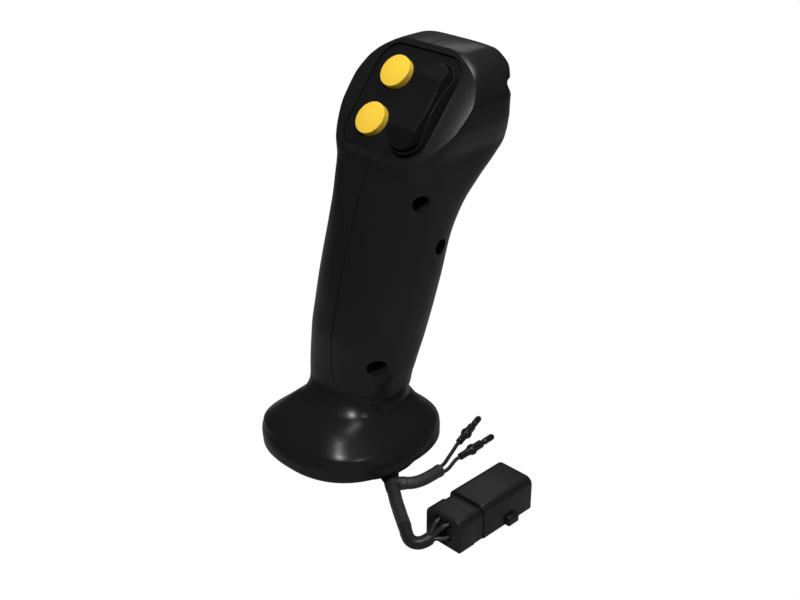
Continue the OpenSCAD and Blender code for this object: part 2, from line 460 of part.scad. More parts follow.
// ---- bullet terminals: insulating boot and turned pin ----
bul_l = 26;
bul_pin_r = 1.38;
bul_boot_l = 16.2;
module at_bullet(P) let (e = P[len(P) - 1], u = e - P[len(P) - 2], h = unit([u[0], u[1], 0]))
    translate(e + touch * h) rotate([0, 90, atan2(h[1], h[0])]) children();
module bullet_boot(P) color([.12, .12, .13]) at_bullet(P) difference() {
    union() {
        cylinder(r = 1.8, h = 8);
        translate([0, 0, 5.6]) cylinder(r1 = 1.8, r2 = 2.5, h = 1.4);
        translate([0, 0, 9.4]) sphere(2.85);
        translate([0, 0, 10]) cylinder(r = 2.1, h = bul_boot_l - 10);
    }
    translate([0, 0, 12.4]) cylinder(r = bul_pin_r - .14, h = 20);
}
module bullet_pin(P) color([.2, .2, .21]) at_bullet(P) {
    translate([0, 0, 12.6]) cylinder(r = bul_pin_r - .18, h = bul_boot_l - 12.6 + .4);
    translate([0, 0, bul_boot_l + .1]) cylinder(r = bul_pin_r, h = bul_l - bul_boot_l - .1 - bul_pin_r);
    translate([0, 0, bul_l - bul_pin_r]) sphere(bul_pin_r);
}

// ---- sealed connector ----
con_split = con_y + con_rear_l;
con_front_l = con_l - con_rear_l;
con_mid = con_h / 2;
sock_w = 16;                         // socket for the mating plug
sock_h = 12;
sock_l = 13;
cav_d = 3.2;                         // cavity of one contact
CAV = [for (x = [-3, 3], z = [5.4, 12.6]) [x, z]];
module con_section(w, h) {
    translate([0, h / 2]) rrect(w, h, 3.8);
    translate([0, 3.5]) rrect(w, 7, 1.4);
}
// local x across, y up, z forward from a place along Y
module con_at(y) translate([con_x, y, 0]) rotate([90, 0, 0]) mirror([0, 0, 1]) children();
module connector_rear() color([.12, .12, .13]) con_at(con_y) difference() {
    translate([0, con_lift]) linear_extrude(con_rear_l - seat_gap) con_section(con_w - .6, con_h - .9);
    for (c = CAV) translate([c[0], c[1], -1]) cylinder(d = wire_d + 1.4, h = 20);
    translate([-30, -1, 5.4]) difference() {
        cube([60, 40, .7]);
        translate([30, 1 + con_lift + .4, -1]) linear_extrude(3) con_section(con_w - 1.6, con_h - 1.9);
    }
    translate([0, con_mid, 3.5]) linear_extrude(20) rrect(14, 11.6, 3);
}
module connector_seal() color([.5, .2, .14]) con_at(con_y + 3.5 + seat_gap) difference() {
    translate([0, con_mid]) linear_extrude(con_rear_l - 3.5 - 3 * seat_gap) rrect(13.8, 11.4, 2.9);
    for (c = CAV) translate([c[0], c[1], -1]) cylinder(d = 1.3, h = 20);
}
module connector_housing() color([.12, .12, .13]) con_at(con_split) difference() {
    union() {
        translate([0, con_lift]) linear_extrude(con_front_l) con_section(con_w, con_h);
        translate([con_w / 2 - 3, con_lift, 16.4]) cube([5.4, 5.2, 8.6]);
    }
    translate([0, con_mid, con_front_l - sock_l]) linear_extrude(sock_l + 1) rrect(sock_w, sock_h, 2.6);
    for (c = CAV) translate([c[0], c[1], -1]) cylinder(d = cav_d, h = con_front_l);
}
module connector_seal_ring() color([.5, .2, .14]) con_at(con_split + con_front_l - sock_l + seat_gap) translate([0, con_mid])
    linear_extrude(2) difference() {
        rrect(sock_w - .2, sock_h - .2, 2.5);
        rrect(sock_w - 3, sock_h - 1.2, 2);
    }
module connector_contacts() color([.75, .7, .5]) con_at(con_split) for (c = CAV) translate([c[0], c[1], .5]) difference() {
    cylinder(d = cav_d - .2, h = con_front_l - sock_l - 1);
    translate([0, 0, con_front_l - sock_l - 8]) cylinder(d = 1.7, h = 20);
}

main_body();
right_cover();
cover_screws();
cover_inserts();
face_plate();
button_cap(btn_v1);  // upper_button_cap
button_stem(btn_v1);  // upper_button_stem
button_spring(btn_v1);  // upper_button_spring
button_housing(btn_v1);  // upper_button_housing
button_switch(btn_v1);  // upper_button_switch
button_terminals(btn_v1);  // upper_button_terminals
button_cap(btn_v2);  // lower_button_cap
button_stem(btn_v2);  // lower_button_stem
button_spring(btn_v2);  // lower_button_spring
button_housing(btn_v2);  // lower_button_housing
button_switch(btn_v2);  // lower_button_switch
button_terminals(btn_v2);  // lower_button_terminals
button_carrier();
carrier_screws();
rocker_cap();
rocker_frame();
rocker_pin();
rocker_clip();
rocker_spring(1);  // rocker_upper_spring
rocker_spring(-1);  // rocker_lower_spring
rocker_switches();
rocker_terminals();
adapter();
clamp_screw();
adapter_screws();
adapter_inserts();
inner_harness();
strain_relief();
breakout_boot();
long_sleeve();
long_ring();
wire_1();
wire_2();
wire_3();
wire_4();
short_sleeve();
short_ring();
lead_a();
lead_b();
bullet_boot(LEAD_A);  // bullet_a_boot
bullet_pin(LEAD_A);  // bullet_a_pin
bullet_boot(LEAD_B);  // bullet_b_boot
bullet_pin(LEAD_B);  // bullet_b_pin
connector_rear();
connector_seal();
connector_housing();
connector_seal_ring();
connector_contacts();
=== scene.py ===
# %% [markdown]
# # A multifunction control grip, dressed piece by piece
# The part arrives as a fixed frame of solids at their real size. This lesson gives each of them its real
# surface: moulded plastic, woven sleeving, plated metal. It never moves a solid, because the joints and the
# bores depend on where they are. Sizes are written in millimetres and turned into metres in one place.

# %% Load the frame
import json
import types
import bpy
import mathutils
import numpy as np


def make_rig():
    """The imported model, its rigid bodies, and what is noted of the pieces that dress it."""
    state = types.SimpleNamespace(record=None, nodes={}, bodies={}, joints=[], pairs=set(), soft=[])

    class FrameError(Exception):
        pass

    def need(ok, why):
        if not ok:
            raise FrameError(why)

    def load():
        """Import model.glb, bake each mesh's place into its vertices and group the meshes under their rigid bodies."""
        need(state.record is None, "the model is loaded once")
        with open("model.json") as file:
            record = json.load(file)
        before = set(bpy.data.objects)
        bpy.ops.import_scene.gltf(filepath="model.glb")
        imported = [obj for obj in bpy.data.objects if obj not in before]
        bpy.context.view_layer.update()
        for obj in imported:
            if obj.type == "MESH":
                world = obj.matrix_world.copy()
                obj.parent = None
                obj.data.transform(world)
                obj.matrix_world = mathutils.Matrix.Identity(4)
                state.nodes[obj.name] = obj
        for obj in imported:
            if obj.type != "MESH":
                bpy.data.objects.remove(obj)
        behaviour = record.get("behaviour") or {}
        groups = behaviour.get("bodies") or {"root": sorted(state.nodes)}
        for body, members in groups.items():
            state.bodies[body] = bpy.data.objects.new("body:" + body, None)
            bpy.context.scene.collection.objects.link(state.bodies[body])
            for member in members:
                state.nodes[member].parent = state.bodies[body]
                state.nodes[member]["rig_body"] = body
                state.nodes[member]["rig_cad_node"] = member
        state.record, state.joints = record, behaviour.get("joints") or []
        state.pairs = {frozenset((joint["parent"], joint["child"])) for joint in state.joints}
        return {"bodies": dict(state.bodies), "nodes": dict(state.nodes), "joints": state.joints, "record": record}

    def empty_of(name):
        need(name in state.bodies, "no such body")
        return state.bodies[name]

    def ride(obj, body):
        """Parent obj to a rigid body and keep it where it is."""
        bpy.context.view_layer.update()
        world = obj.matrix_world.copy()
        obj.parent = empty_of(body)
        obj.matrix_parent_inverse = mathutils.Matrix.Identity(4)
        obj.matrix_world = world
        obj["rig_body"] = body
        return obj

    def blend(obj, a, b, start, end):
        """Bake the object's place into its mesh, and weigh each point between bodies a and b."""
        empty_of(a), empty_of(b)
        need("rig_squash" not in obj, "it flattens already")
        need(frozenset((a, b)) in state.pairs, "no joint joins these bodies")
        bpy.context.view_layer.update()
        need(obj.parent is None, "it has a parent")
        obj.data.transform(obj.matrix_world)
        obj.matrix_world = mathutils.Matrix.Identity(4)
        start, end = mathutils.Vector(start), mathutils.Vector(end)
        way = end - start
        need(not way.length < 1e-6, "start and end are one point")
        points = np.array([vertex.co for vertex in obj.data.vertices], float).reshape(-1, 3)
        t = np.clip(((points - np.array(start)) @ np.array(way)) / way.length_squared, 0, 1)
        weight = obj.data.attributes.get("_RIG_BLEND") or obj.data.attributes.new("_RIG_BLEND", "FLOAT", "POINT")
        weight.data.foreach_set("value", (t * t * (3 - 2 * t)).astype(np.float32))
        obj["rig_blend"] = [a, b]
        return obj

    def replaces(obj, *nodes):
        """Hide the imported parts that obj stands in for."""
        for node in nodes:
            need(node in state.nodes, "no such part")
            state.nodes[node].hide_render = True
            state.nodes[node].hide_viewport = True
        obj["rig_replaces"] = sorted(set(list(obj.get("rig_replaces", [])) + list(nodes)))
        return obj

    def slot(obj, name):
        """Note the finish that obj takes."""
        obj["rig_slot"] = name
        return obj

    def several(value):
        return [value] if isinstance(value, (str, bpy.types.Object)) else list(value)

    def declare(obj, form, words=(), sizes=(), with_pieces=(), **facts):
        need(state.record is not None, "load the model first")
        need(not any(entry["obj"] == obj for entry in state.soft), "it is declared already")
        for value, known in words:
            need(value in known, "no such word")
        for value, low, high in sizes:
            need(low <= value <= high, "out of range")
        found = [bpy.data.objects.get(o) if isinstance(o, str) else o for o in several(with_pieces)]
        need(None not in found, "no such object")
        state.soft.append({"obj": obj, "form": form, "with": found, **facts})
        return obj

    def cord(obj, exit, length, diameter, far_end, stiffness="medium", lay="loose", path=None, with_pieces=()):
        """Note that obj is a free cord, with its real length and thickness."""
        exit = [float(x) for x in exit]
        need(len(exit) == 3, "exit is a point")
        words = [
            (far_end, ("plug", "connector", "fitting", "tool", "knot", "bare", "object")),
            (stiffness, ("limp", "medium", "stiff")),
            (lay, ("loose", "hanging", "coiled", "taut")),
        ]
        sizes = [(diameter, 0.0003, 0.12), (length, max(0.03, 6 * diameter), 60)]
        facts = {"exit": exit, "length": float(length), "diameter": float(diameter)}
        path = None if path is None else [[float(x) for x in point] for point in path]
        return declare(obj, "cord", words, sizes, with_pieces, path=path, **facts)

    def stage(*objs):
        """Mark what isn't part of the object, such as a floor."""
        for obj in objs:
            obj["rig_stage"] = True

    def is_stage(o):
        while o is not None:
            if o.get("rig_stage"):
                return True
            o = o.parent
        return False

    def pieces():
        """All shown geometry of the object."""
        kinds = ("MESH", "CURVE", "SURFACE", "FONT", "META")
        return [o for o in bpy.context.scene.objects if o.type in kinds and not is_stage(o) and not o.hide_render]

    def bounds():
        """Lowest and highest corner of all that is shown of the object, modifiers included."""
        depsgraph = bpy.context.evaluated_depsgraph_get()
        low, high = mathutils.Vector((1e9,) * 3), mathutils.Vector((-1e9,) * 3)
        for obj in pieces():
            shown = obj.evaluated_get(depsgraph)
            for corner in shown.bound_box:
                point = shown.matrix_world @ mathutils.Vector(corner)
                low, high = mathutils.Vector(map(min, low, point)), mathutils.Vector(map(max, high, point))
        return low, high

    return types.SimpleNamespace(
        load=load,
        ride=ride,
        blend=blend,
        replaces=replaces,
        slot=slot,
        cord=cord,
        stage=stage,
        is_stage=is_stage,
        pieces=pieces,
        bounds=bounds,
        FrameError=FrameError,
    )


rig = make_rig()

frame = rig.load()

import json
import math

import bmesh
import bpy
import numpy as np
from mathutils import Matrix, Vector

MM = 0.001
CAD_BOX = [list(corner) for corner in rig.bounds()]
NODES = frame["nodes"]
print("frame:", len(NODES), "nodes,", len(frame["joints"]), "joints")

# %% [markdown]
# ## Camera
# A long lens, looking down from the front right, keeps the grip's sides nearly parallel. It is placed first,
# because the free cords have to stay inside its view.

# %% Camera
EYE_MM = (399.05, -371.36, 360.89)
TILT, TURN = 63, 45
LENS = 57.825
camera = bpy.data.objects.new("camera", bpy.data.cameras.new("camera"))
camera.data.lens = LENS
camera.data.sensor_width = 36
camera.location = [c * MM for c in EYE_MM]
camera.rotation_euler = (math.radians(TILT), 0, math.radians(TURN))
bpy.context.collection.objects.link(camera)
bpy.context.scene.camera = camera

# %% [markdown]
# ## Shader maths as Python
# A pattern is easier to read as `grain * 0.3 + 0.4` than as a chain of nodes. `Value` wraps one output of a
# node tree, and each operator adds the Math node that it stands for. `Shader` makes every other node.

# %% Value and Shader
class Value:
    """One number that varies over a surface, usable in a Python expression."""

    def __init__(self, shader, socket):
        self.shader, self.socket = shader, socket

    def math(self, operation, *others):
        inputs = {k: v for k, v in enumerate((self,) + others)}
        return self.shader.node("ShaderNodeMath", {"operation": operation}, inputs)

    def __add__(self, other):
        return self.math("ADD", other)

    def __sub__(self, other):
        return self.math("SUBTRACT", other)

    def __rsub__(self, other):
        return self.shader.node("ShaderNodeMath", {"operation": "SUBTRACT"}, {0: other, 1: self})

    def __mul__(self, other):
        return self.math("MULTIPLY", other)

    __radd__, __rmul__ = __add__, __mul__


class Shader:
    """A material whose nodes are made by calls instead of by hand."""

    def __init__(self, name):
        self.material = bpy.data.materials.new(name)
        self.material.use_nodes = True
        self.tree = self.material.node_tree
        self.bsdf = self.tree.nodes["Principled BSDF"]

    def plug(self, socket, value):
        if isinstance(value, Value):
            self.tree.links.new(value.socket, socket)
        else:
            socket.default_value = value

    def node(self, kind, settings, inputs, output=0):
        node = self.tree.nodes.new(kind)
        for key, value in settings.items():
            setattr(node, key, value)
        for key, value in inputs.items():
            self.plug(node.inputs[key], value)
        return Value(self, node.outputs[output])

    def place(self, output="Object"):
        return self.node("ShaderNodeTexCoord", {}, {}, output)

    def noise(self, size_mm, detail=2.0, where=None):
        inputs = {"Vector": where or self.place(), "Scale": 1 / (size_mm * MM), "Detail": detail}
        return self.node("ShaderNodeTexNoise", {}, inputs, "Fac")

    def colour(self, mask, dark, light):
        inputs = {"Factor": mask, 6: (*dark, 1), 7: (*light, 1)}
        return self.node("ShaderNodeMix", {"data_type": "RGBA"}, inputs, 2)

    def bump(self, height, depth_mm, strength=1.0):
        inputs = {"Height": height, "Distance": depth_mm * MM, "Strength": strength}
        self.plug(self.bsdf.inputs["Normal"], self.node("ShaderNodeBump", {}, inputs, "Normal"))

    def finish(self, **values):
        for key, value in values.items():
            self.plug(self.bsdf.inputs[key.replace("_", " ")], value)
        return self.material

# %% [markdown]
# ## Finishes
# A moulding tool is spark eroded, so its plastic has a fine grain that scatters a reflection without dulling
# it. Handling polishes that grain unevenly, which shows as a slow change of roughness across a palm's width.

# %% Moulded plastics
def moulded(name, colour, rough=0.31, grain_mm=0.35, depth_mm=0.006, lift=0.25, mirror=0.22):
    shader = Shader(name)
    worn = shader.noise(38, 3.0)
    grain = shader.noise(grain_mm, 3.0)
    pale = tuple(c * (1 + lift) for c in colour)
    shader.bump(grain, depth_mm)
    shader.plug(shader.bsdf.inputs["Specular IOR Level"], mirror)
    return shader.finish(Base_Color=shader.colour(worn, colour, pale), Roughness=worn * 0.06 + (rough - 0.03))


BLACK = (0.0068, 0.0068, 0.0071)
body_black = moulded("moulded_black", BLACK)
plate_black = moulded("plate_black", BLACK, rough=0.38, grain_mm=0.25, mirror=0.05)
rocker_black = moulded("rocker_black", (0.0062, 0.0062, 0.0065), rough=0.40, grain_mm=0.28, mirror=0.04)
connector_black = moulded("connector_black", (0.0070, 0.0070, 0.0073), rough=0.36, grain_mm=0.2,
                          depth_mm=0.004)
inner_black = moulded("inner_black", (0.02, 0.02, 0.022), rough=0.5)
switch_blue = moulded("switch_blue", (0.02, 0.04, 0.12), rough=0.4)
button_yellow = moulded("button_yellow", (0.75, 0.49, 0.043), rough=0.30, depth_mm=0.002, lift=0.04,
                        mirror=0.28)
print("materials with the plastics:", len(bpy.data.materials))

# %% [markdown]
# Rubber is duller than plastic and carries dust in its pores; bare and plated metals show turning marks, given here as
# a fine noise in their roughness.

# %% Rubber and metal
def rubbery(name, colour, rough=0.6):
    shader = Shader(name)
    dust = shader.noise(4, 4.0)
    shader.bump(shader.noise(0.5, 2.0), 0.02)
    pale = tuple(c * 1.5 for c in colour)
    return shader.finish(Base_Color=shader.colour(dust, colour, pale), Roughness=dust * 0.12 + (rough - 0.06))


def metal(name, colour, rough=0.32, mark_mm=0.25):
    shader = Shader(name)
    marks = shader.noise(mark_mm, 2.0)
    stain = shader.noise(6, 2.0)
    shader.bump(marks, 0.004)
    pale = tuple(min(1, c * 1.15) for c in colour)
    rough_map = marks * 0.12 + (rough - 0.06)
    return shader.finish(Base_Color=shader.colour(stain, colour, pale), Roughness=rough_map, Metallic=1.0)


wire_rubber = rubbery("wire_rubber", (0.0072, 0.0072, 0.0076), rough=0.5)
boot_rubber = rubbery("boot_rubber", (0.012, 0.012, 0.0125), rough=0.48)
seal_red = rubbery("seal_red", (0.24, 0.03, 0.012))
shrink_black = rubbery("shrink_black", (0.012, 0.012, 0.0128), rough=0.42)
black_steel = metal("black_steel", (0.03, 0.03, 0.032), rough=0.4)
adapter_black = metal("adapter_black", (0.035, 0.035, 0.038), rough=0.45)
spring_steel = metal("spring_steel", (0.55, 0.55, 0.57), rough=0.25)
brass = metal("turned_brass", (0.62, 0.42, 0.16), rough=0.3)
tinned = metal("tinned_contact", (0.62, 0.58, 0.48), rough=0.3)
dark_pin = metal("dark_pin", (0.05, 0.048, 0.045), rough=0.38)
print("materials with rubber and metal:", len(bpy.data.materials))

# %% [markdown]
# The sleeve is woven from flat yarns that cross at an angle. Two slanted waves, one for each direction of
# yarn, are read from the sleeve's own map, so that the weave follows every bend.

# %% Woven sleeve
def woven(name, colour, turns=18, pitch_mm=1.5):
    shader = Shader(name)
    uv = shader.node("ShaderNodeSeparateXYZ", {}, {0: shader.place("UV")})
    along = Value(shader, uv.socket.node.outputs[1])
    angle = uv * (turns * 2 * math.pi)
    climb = along * (2 * math.pi / pitch_mm)
    one = (angle + climb).math("SINE")
    other = (angle - climb).math("SINE")
    yarn = (one * other) * 0.5 + 0.5
    shader.bump(yarn, 0.10)
    pale = tuple(c * 1.8 for c in colour)
    return shader.finish(Base_Color=shader.colour(yarn, colour, pale), Roughness=0.58 - yarn * 0.14)


sleeve_weave = woven("sleeve_weave", (0.0095, 0.0095, 0.010))
jacket_black = moulded("jacket_black", (0.0095, 0.0095, 0.0098), rough=0.40)
terminal_gloss = moulded("terminal_gloss", (0.0085, 0.0085, 0.0088), rough=0.26, depth_mm=0.002)

# %% [markdown]
# ## Turning numbers into pieces
# Every piece goes through one door: its points arrive in millimetres and in the frame's own place, so the
# finished object sits at the origin, unturned. Edges flatter than a given angle are shaded smooth.

# %% Piece helpers
def add_piece(name, mesh, material, replaces=(), body="root", slot=None, smooth=32):
    mesh.name = name
    obj = bpy.data.objects.new(name, mesh)
    bpy.context.collection.objects.link(obj)
    mesh.materials.clear()
    mesh.materials.append(material)
    mesh.shade_smooth()
    mesh.set_sharp_from_angle(angle=math.radians(smooth))
    if body:
        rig.ride(obj, body)
    if replaces:
        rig.replaces(obj, *replaces)
    if slot:
        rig.slot(obj, slot)
    return obj


def mesh_from(points_mm, faces, matrix=None, name="mesh"):
    """A mesh from millimetre points, with its faces turned outwards."""
    mesh = bpy.data.meshes.new(name)
    turn = matrix or Matrix.Identity(4)
    mesh.from_pydata([(turn @ Vector(p)) * MM for p in points_mm], [], faces)
    bm = bmesh.new()
    bm.from_mesh(mesh)
    bmesh.ops.remove_doubles(bm, verts=bm.verts, dist=1e-7)
    bmesh.ops.recalc_face_normals(bm, faces=bm.faces)
    bm.to_mesh(mesh)
    bm.free()
    return mesh


def skin_rings(rings, closed_ends=True, matrix=None):
    """Joins rings of equal length into a closed shell."""
    count, size = len(rings), len(rings[0])
    points = [p for ring in rings for p in ring]
    faces = []
    for j in range(count - 1):
        for i in range(size):
            k = (i + 1) % size
            faces.append((j * size + i, j * size + k, (j + 1) * size + k, (j + 1) * size + i))
    if closed_ends:
        faces += [tuple(range(size))[::-1], tuple((count - 1) * size + i for i in range(size))]
    return mesh_from(points, faces, matrix)


def lathe(profile, sides=64, matrix=None):
    """Turns a profile of (radius, height) points about Z; a radius of zero is a closed pole."""
    rings = []
    for radius, height in profile:
        r = max(radius, 1e-4)
        ring = [(r * math.cos(a), r * math.sin(a), height) for a in np.linspace(0, 2 * math.pi, sides, False)]
        rings.append(ring)
    return skin_rings(rings, True, matrix)


def aim(place, direction):
    """The matrix that stands local Z along a direction at a place."""
    return Matrix.Translation(place) @ Vector(direction).to_track_quat("Z", "Y").to_matrix().to_4x4()

# %% [markdown]
# ## The harness
# A cord is a line first and a thickness second. Each line passes through a few places in round numbers; a
# Catmull-Rom curve joins them, and a ring of points is carried along it without twisting. The four connector
# wires run inside the long sleeve and come out of its collar; the two thin leads run inside the short one.

# %% Lines of the harness
RELIEF_START = Vector((24.6, -6.9, 6.4))
RELIEF_WAY = Vector((12.9, -8.3, -2.45)).normalized()
RELIEF_LONG = 12
FORK = RELIEF_START + RELIEF_WAY * 15.9
TRUNK = RELIEF_START + RELIEF_WAY * (RELIEF_LONG + 0.3)
LONG_SLEEVE = [(41.2, -18, 3.6), (44, -20, 3.4), (48, -23, 3.4), (53, -26.4, 3.4), (58, -29.8, 3.5),
               (62, -32.4, 3.6), (65.4, -34.6, 3.6)]
SHORT_SLEEVE = [(41.6, -9.6, 3.4), (43, -7.6, 3.2), (44.4, -4.4, 3.1), (45.2, 0, 3.1), (45.4, 5, 3.2),
                (45.4, 9.4, 3.2)]
JACKET = [(65.55, -34.7, 3.6), (67.6, -36.2, 3.5), (70.2, -38, 3.4), (73.4, -39.5, 3.3), (76.4, -39.6, 3.4),
          (78.6, -38.2, 3.7), (79.9, -36, 4.3), (80.6, -34, 5.1)]
WIRES = {
    "wire_1": [(80.2, -33, 7.2), (80.1, -31.4, 9.0), (80.3, -29.6, 11.6), (80.5, -27.4, 12.6),
               (80.5, -26.4, 12.6)],
    "wire_2": [(82.2, -33.2, 7.6), (83.6, -31.8, 9.8), (85.4, -30, 12), (86.4, -27.6, 12.6),
               (86.5, -26.4, 12.6)],
    "wire_3": [(80.4, -32.4, 5.0), (80.5, -30.8, 5.2), (80.5, -29.4, 5.4), (80.5, -27.6, 5.4),
               (80.5, -26.4, 5.4)],
    "wire_4": [(82.5, -33, 5.3), (84, -31.8, 5.4), (85.5, -30.2, 5.4), (86.4, -27.8, 5.4),
               (86.5, -26.4, 5.4)]}
LEADS = {
    "lead_a": [(44.3, 10.1, 3.8), (43.6, 12.6, 3.2), (42, 17, 2.5), (39.8, 22, 2.3), (37.8, 27, 2.4),
               (36, 31.6, 2.8), (35, 34.6, 2.9)],
    "lead_b": [(46.5, 10.1, 2.6), (46.6, 12.4, 2.1), (46, 15.8, 2), (45, 19.2, 2.3), (44.3, 22.4, 2.8),
               (44.2, 25.2, 2.9)]}
LONG_D, JACKET_D, SHORT_D, WIRE_D, LEAD_D = 6.4, 6.0, 6.0, 2.2, 1.9
print("lines:", len(WIRES), "wires and", len(LEADS), "leads")

# %% [markdown]
# A round tube along a line could be a curve with a bevel. Here its rings are placed one by one instead, so
# that its own map can run round it and along it in millimetres, which the weave needs.

# %% A tube along a line
def curve_through(points, step_mm=1.0):
    """Evenly spaced places on a Catmull-Rom curve through the points."""
    P = [Vector(p) for p in points]
    dense = []
    for i in range(len(P) - 1):
        a, b, c, d = P[max(i - 1, 0)], P[i], P[i + 1], P[min(i + 2, len(P) - 1)]
        for t in np.linspace(0, 1, 24, False):
            square, cube = 2 * a - 5 * b + 4 * c - d, 3 * b - a - 3 * c + d
            dense.append(0.5 * (2 * b + (c - a) * t + square * t ** 2 + cube * t ** 3))
    dense.append(P[-1])
    walked = [0.0]
    for p, q in zip(dense, dense[1:]):
        walked.append(walked[-1] + (q - p).length)
    count = max(2, round(walked[-1] / step_mm) + 1)
    marks = np.linspace(0, walked[-1], count)
    columns = [np.interp(marks, walked, [p[k] for p in dense]) for k in range(3)]
    return [Vector(p) for p in zip(*columns)], walked[-1]


def tube_mesh(points, diameter, sides=16, step_mm=1.0):
    line, length = curve_through(points, step_mm)
    up = Vector((0, 0, 1))
    rings = []
    for k, place in enumerate(line):
        way = (line[min(k + 1, len(line) - 1)] - line[max(k - 1, 0)]).normalized()
        side = way.cross(up).normalized()
        up = side.cross(way).normalized()
        ring = []
        for i in range(sides):
            a = 2 * math.pi * i / sides
            ring.append(place + (side * math.cos(a) + up * math.sin(a)) * (diameter / 2))
        rings.append(ring)
    mesh = skin_rings(rings)
    uv = mesh.uv_layers.new(name="UVMap")
    for polygon in mesh.polygons:
        columns = [v % sides for v in polygon.vertices]
        wrap = max(columns) - min(columns) > sides / 2
        for corner, vertex in zip(polygon.loop_indices, polygon.vertices):
            ring, column = divmod(vertex, sides)
            turn = column + (sides if wrap and column < sides / 2 else 0)
            uv.data[corner].uv = (turn / sides, length * ring / (len(line) - 1))
    return mesh, [tuple(p * MM) for p in line], length * MM

# %% [markdown]
# The wires lie two by two in the sleeve. Their hidden stretch is drawn too, because a wire that starts at the
# collar would be a stub, and its length would be wrong.

# %% Wires, leads and sleeves
def beside(line, right_mm, up_mm):
    """The line moved sideways by a constant amount, flat on its own path."""
    moved = []
    for k, p in enumerate(line):
        way = Vector(line[min(k + 1, len(line) - 1)]) - Vector(line[max(k - 1, 0)])
        side = way.cross(Vector((0, 0, 1))).normalized()
        moved.append(tuple(Vector(p) + side * right_mm + Vector((0, 0, up_mm))))
    return moved


trunk_line = [tuple(TRUNK), tuple(FORK)]
nest = WIRE_D / 2 + 0.05
seats = {"wire_1": (-nest, nest), "wire_2": (nest, nest), "wire_3": (-nest, -nest), "wire_4": (nest, -nest)}
cords = {}
for name, (right, up) in seats.items():
    hidden = beside(trunk_line + LONG_SLEEVE + JACKET, right, up)
    mesh, line, length = tube_mesh(hidden + WIRES[name], WIRE_D)
    cords[name] = (add_piece(name + "_run", mesh, wire_rubber, [name], slot="cable_rubber"), line, length)
for name, right in (("lead_a", -0.95), ("lead_b", 0.95)):
    hidden = beside([tuple(FORK)] + SHORT_SLEEVE, right, 0)
    mesh, line, length = tube_mesh(hidden + LEADS[name], LEAD_D, 12)
    cords[name] = (add_piece(name + "_run", mesh, wire_rubber, [name], slot="cable_rubber"), line, length)
mesh, _, _ = tube_mesh(LONG_SLEEVE, LONG_D, 32, 0.8)
long_sleeve = add_piece("woven_long_sleeve", mesh, sleeve_weave, ["long_sleeve"], slot="braid")
mesh, _, _ = tube_mesh(JACKET, JACKET_D, 32, 0.6)
jacket = add_piece("shrunk_jacket", mesh, jacket_black, ["long_ring"], slot="shrink_tube")
mesh, _, _ = tube_mesh(SHORT_SLEEVE, SHORT_D, 32, 0.8)
short_sleeve = add_piece("woven_short_sleeve", mesh, sleeve_weave, ["short_sleeve"], slot="braid")
for name, (obj, line, length) in cords.items():
    print(name, "length", round(length * 1000, 1), "mm")

# %% [markdown]
# ## The handle's skin
# The grip is one smooth loft through level sections. Each section is a superellipse: a power of 2 gives an
# ellipse and a high power gives a rounded box, so one rule makes the round hand section and the boxy head.
# Between the listed heights every value runs along a monotone curve, which never overshoots. The listed
# values were found by a fitting script and then rounded and smoothed; they were not chosen one by one.

# %% Sections of the handle
FOOT, FLARE_H, GRIP_LEN, LIP_Z = 12, 36, 92, 10.8
HAND_W, HEAD_W, PALM_W, PALM_D, WALL = 57.2, 77.4, 80.3, 84.6, 3
HEAD_Z = FOOT + FLARE_H + GRIP_LEN
PALM_Y = -6
FACE_TILT, FACE_Y, RIM, PROUD, CROWN, CROWN_AT = math.radians(49.1), 50, 2, 1.0, 2.7, 34
FACE_Z = HEAD_Z + 51.8


def on_face(z, depth=0):
    """Y of the switch face's rim plane at a height, or of a plane that deep behind it."""
    lean = math.cos(FACE_TILT) * (z - FACE_Z) + math.sin(FACE_TILT) * FACE_Y
    return (lean - RIM + depth) / math.sin(FACE_TILT)


PALM = [(0, .975, .990, .990, 2.38), (1.2, 1.004, 1.01, 1.005, 2.37), (5, 1.004, 1.014, 1.0, 2.4),
        (7.5, .972, .992, .970, 2.65), (10, .928, .950, .925, 3.0), (12, .886, .928, .862, 3.3),
        (14.5, .810, .872, .800, 3.5), (18, .708, .782, .722, 3.5), (21, .632, .694, .688, 3.2),
        (24, .580, .515, .665, 2.7)]
HAND = [(27, .840, -16.9, 27.2, 2.4), (31, .890, -14.0, 26.4, 2.55), (36, .905, -13.4, 27.2, 2.6),
        (42, .934, -12.8, 29.6, 2.55), (55, .948, -12.5, 37.0, 2.45), (70, .99, -9.7, 43.1, 2.3),
        (85, 1, -5.9, 48.1, 2.35), (100, 1, -1.5, 52.6, 2.4), (115, 1.02, 3.4, 60.2, 2.55)]
HEAD = [(0, .794, 8.5, 70.6, 3.0, 2.9), (8, .820, 12.2, 77.3, 3.6, 3.4), (15.3, .842, None, 81.7, 4.8, 3.9),
        (22, .912, None, 79.4, 6.0, 4.05), (30, .975, None, 76.7, 7.0, 4.1), (38, .988, None, 75.2, 7.2, 4.2),
        (46, .915, None, 76.3, 7.0, 4.35), (51, .808, None, 78.4, 6.6, 4.5), (55, .648, None, 78.0, 6.2, 4.6),
        (57.4, .504, None, 73.6, 6.0, 4.7), (58.4, .396, None, 70.2, 6.0, 4.4)]
SKIN = [(LIP_Z + z, w * PALM_W / 2, -f * PALM_D / 2, b * PALM_D / 2, n, n) for z, w, f, b, n in PALM]
SKIN += [(FOOT + z, w * HAND_W / 2, f, b, n, n) for z, w, f, b, n in HAND]
for z, w, f, b, nf, nb in HEAD:
    SKIN.append((HEAD_Z + z, w * HEAD_W / 2, on_face(HEAD_Z + z) - PROUD if f is None else f, b, nf, nb))
print("sections:", len(SKIN))

# %% [markdown]
# The rings between two sections are worked out and then joined into one closed shell. A subdivision surface
# would be softer, but it would shrink away from the sections.

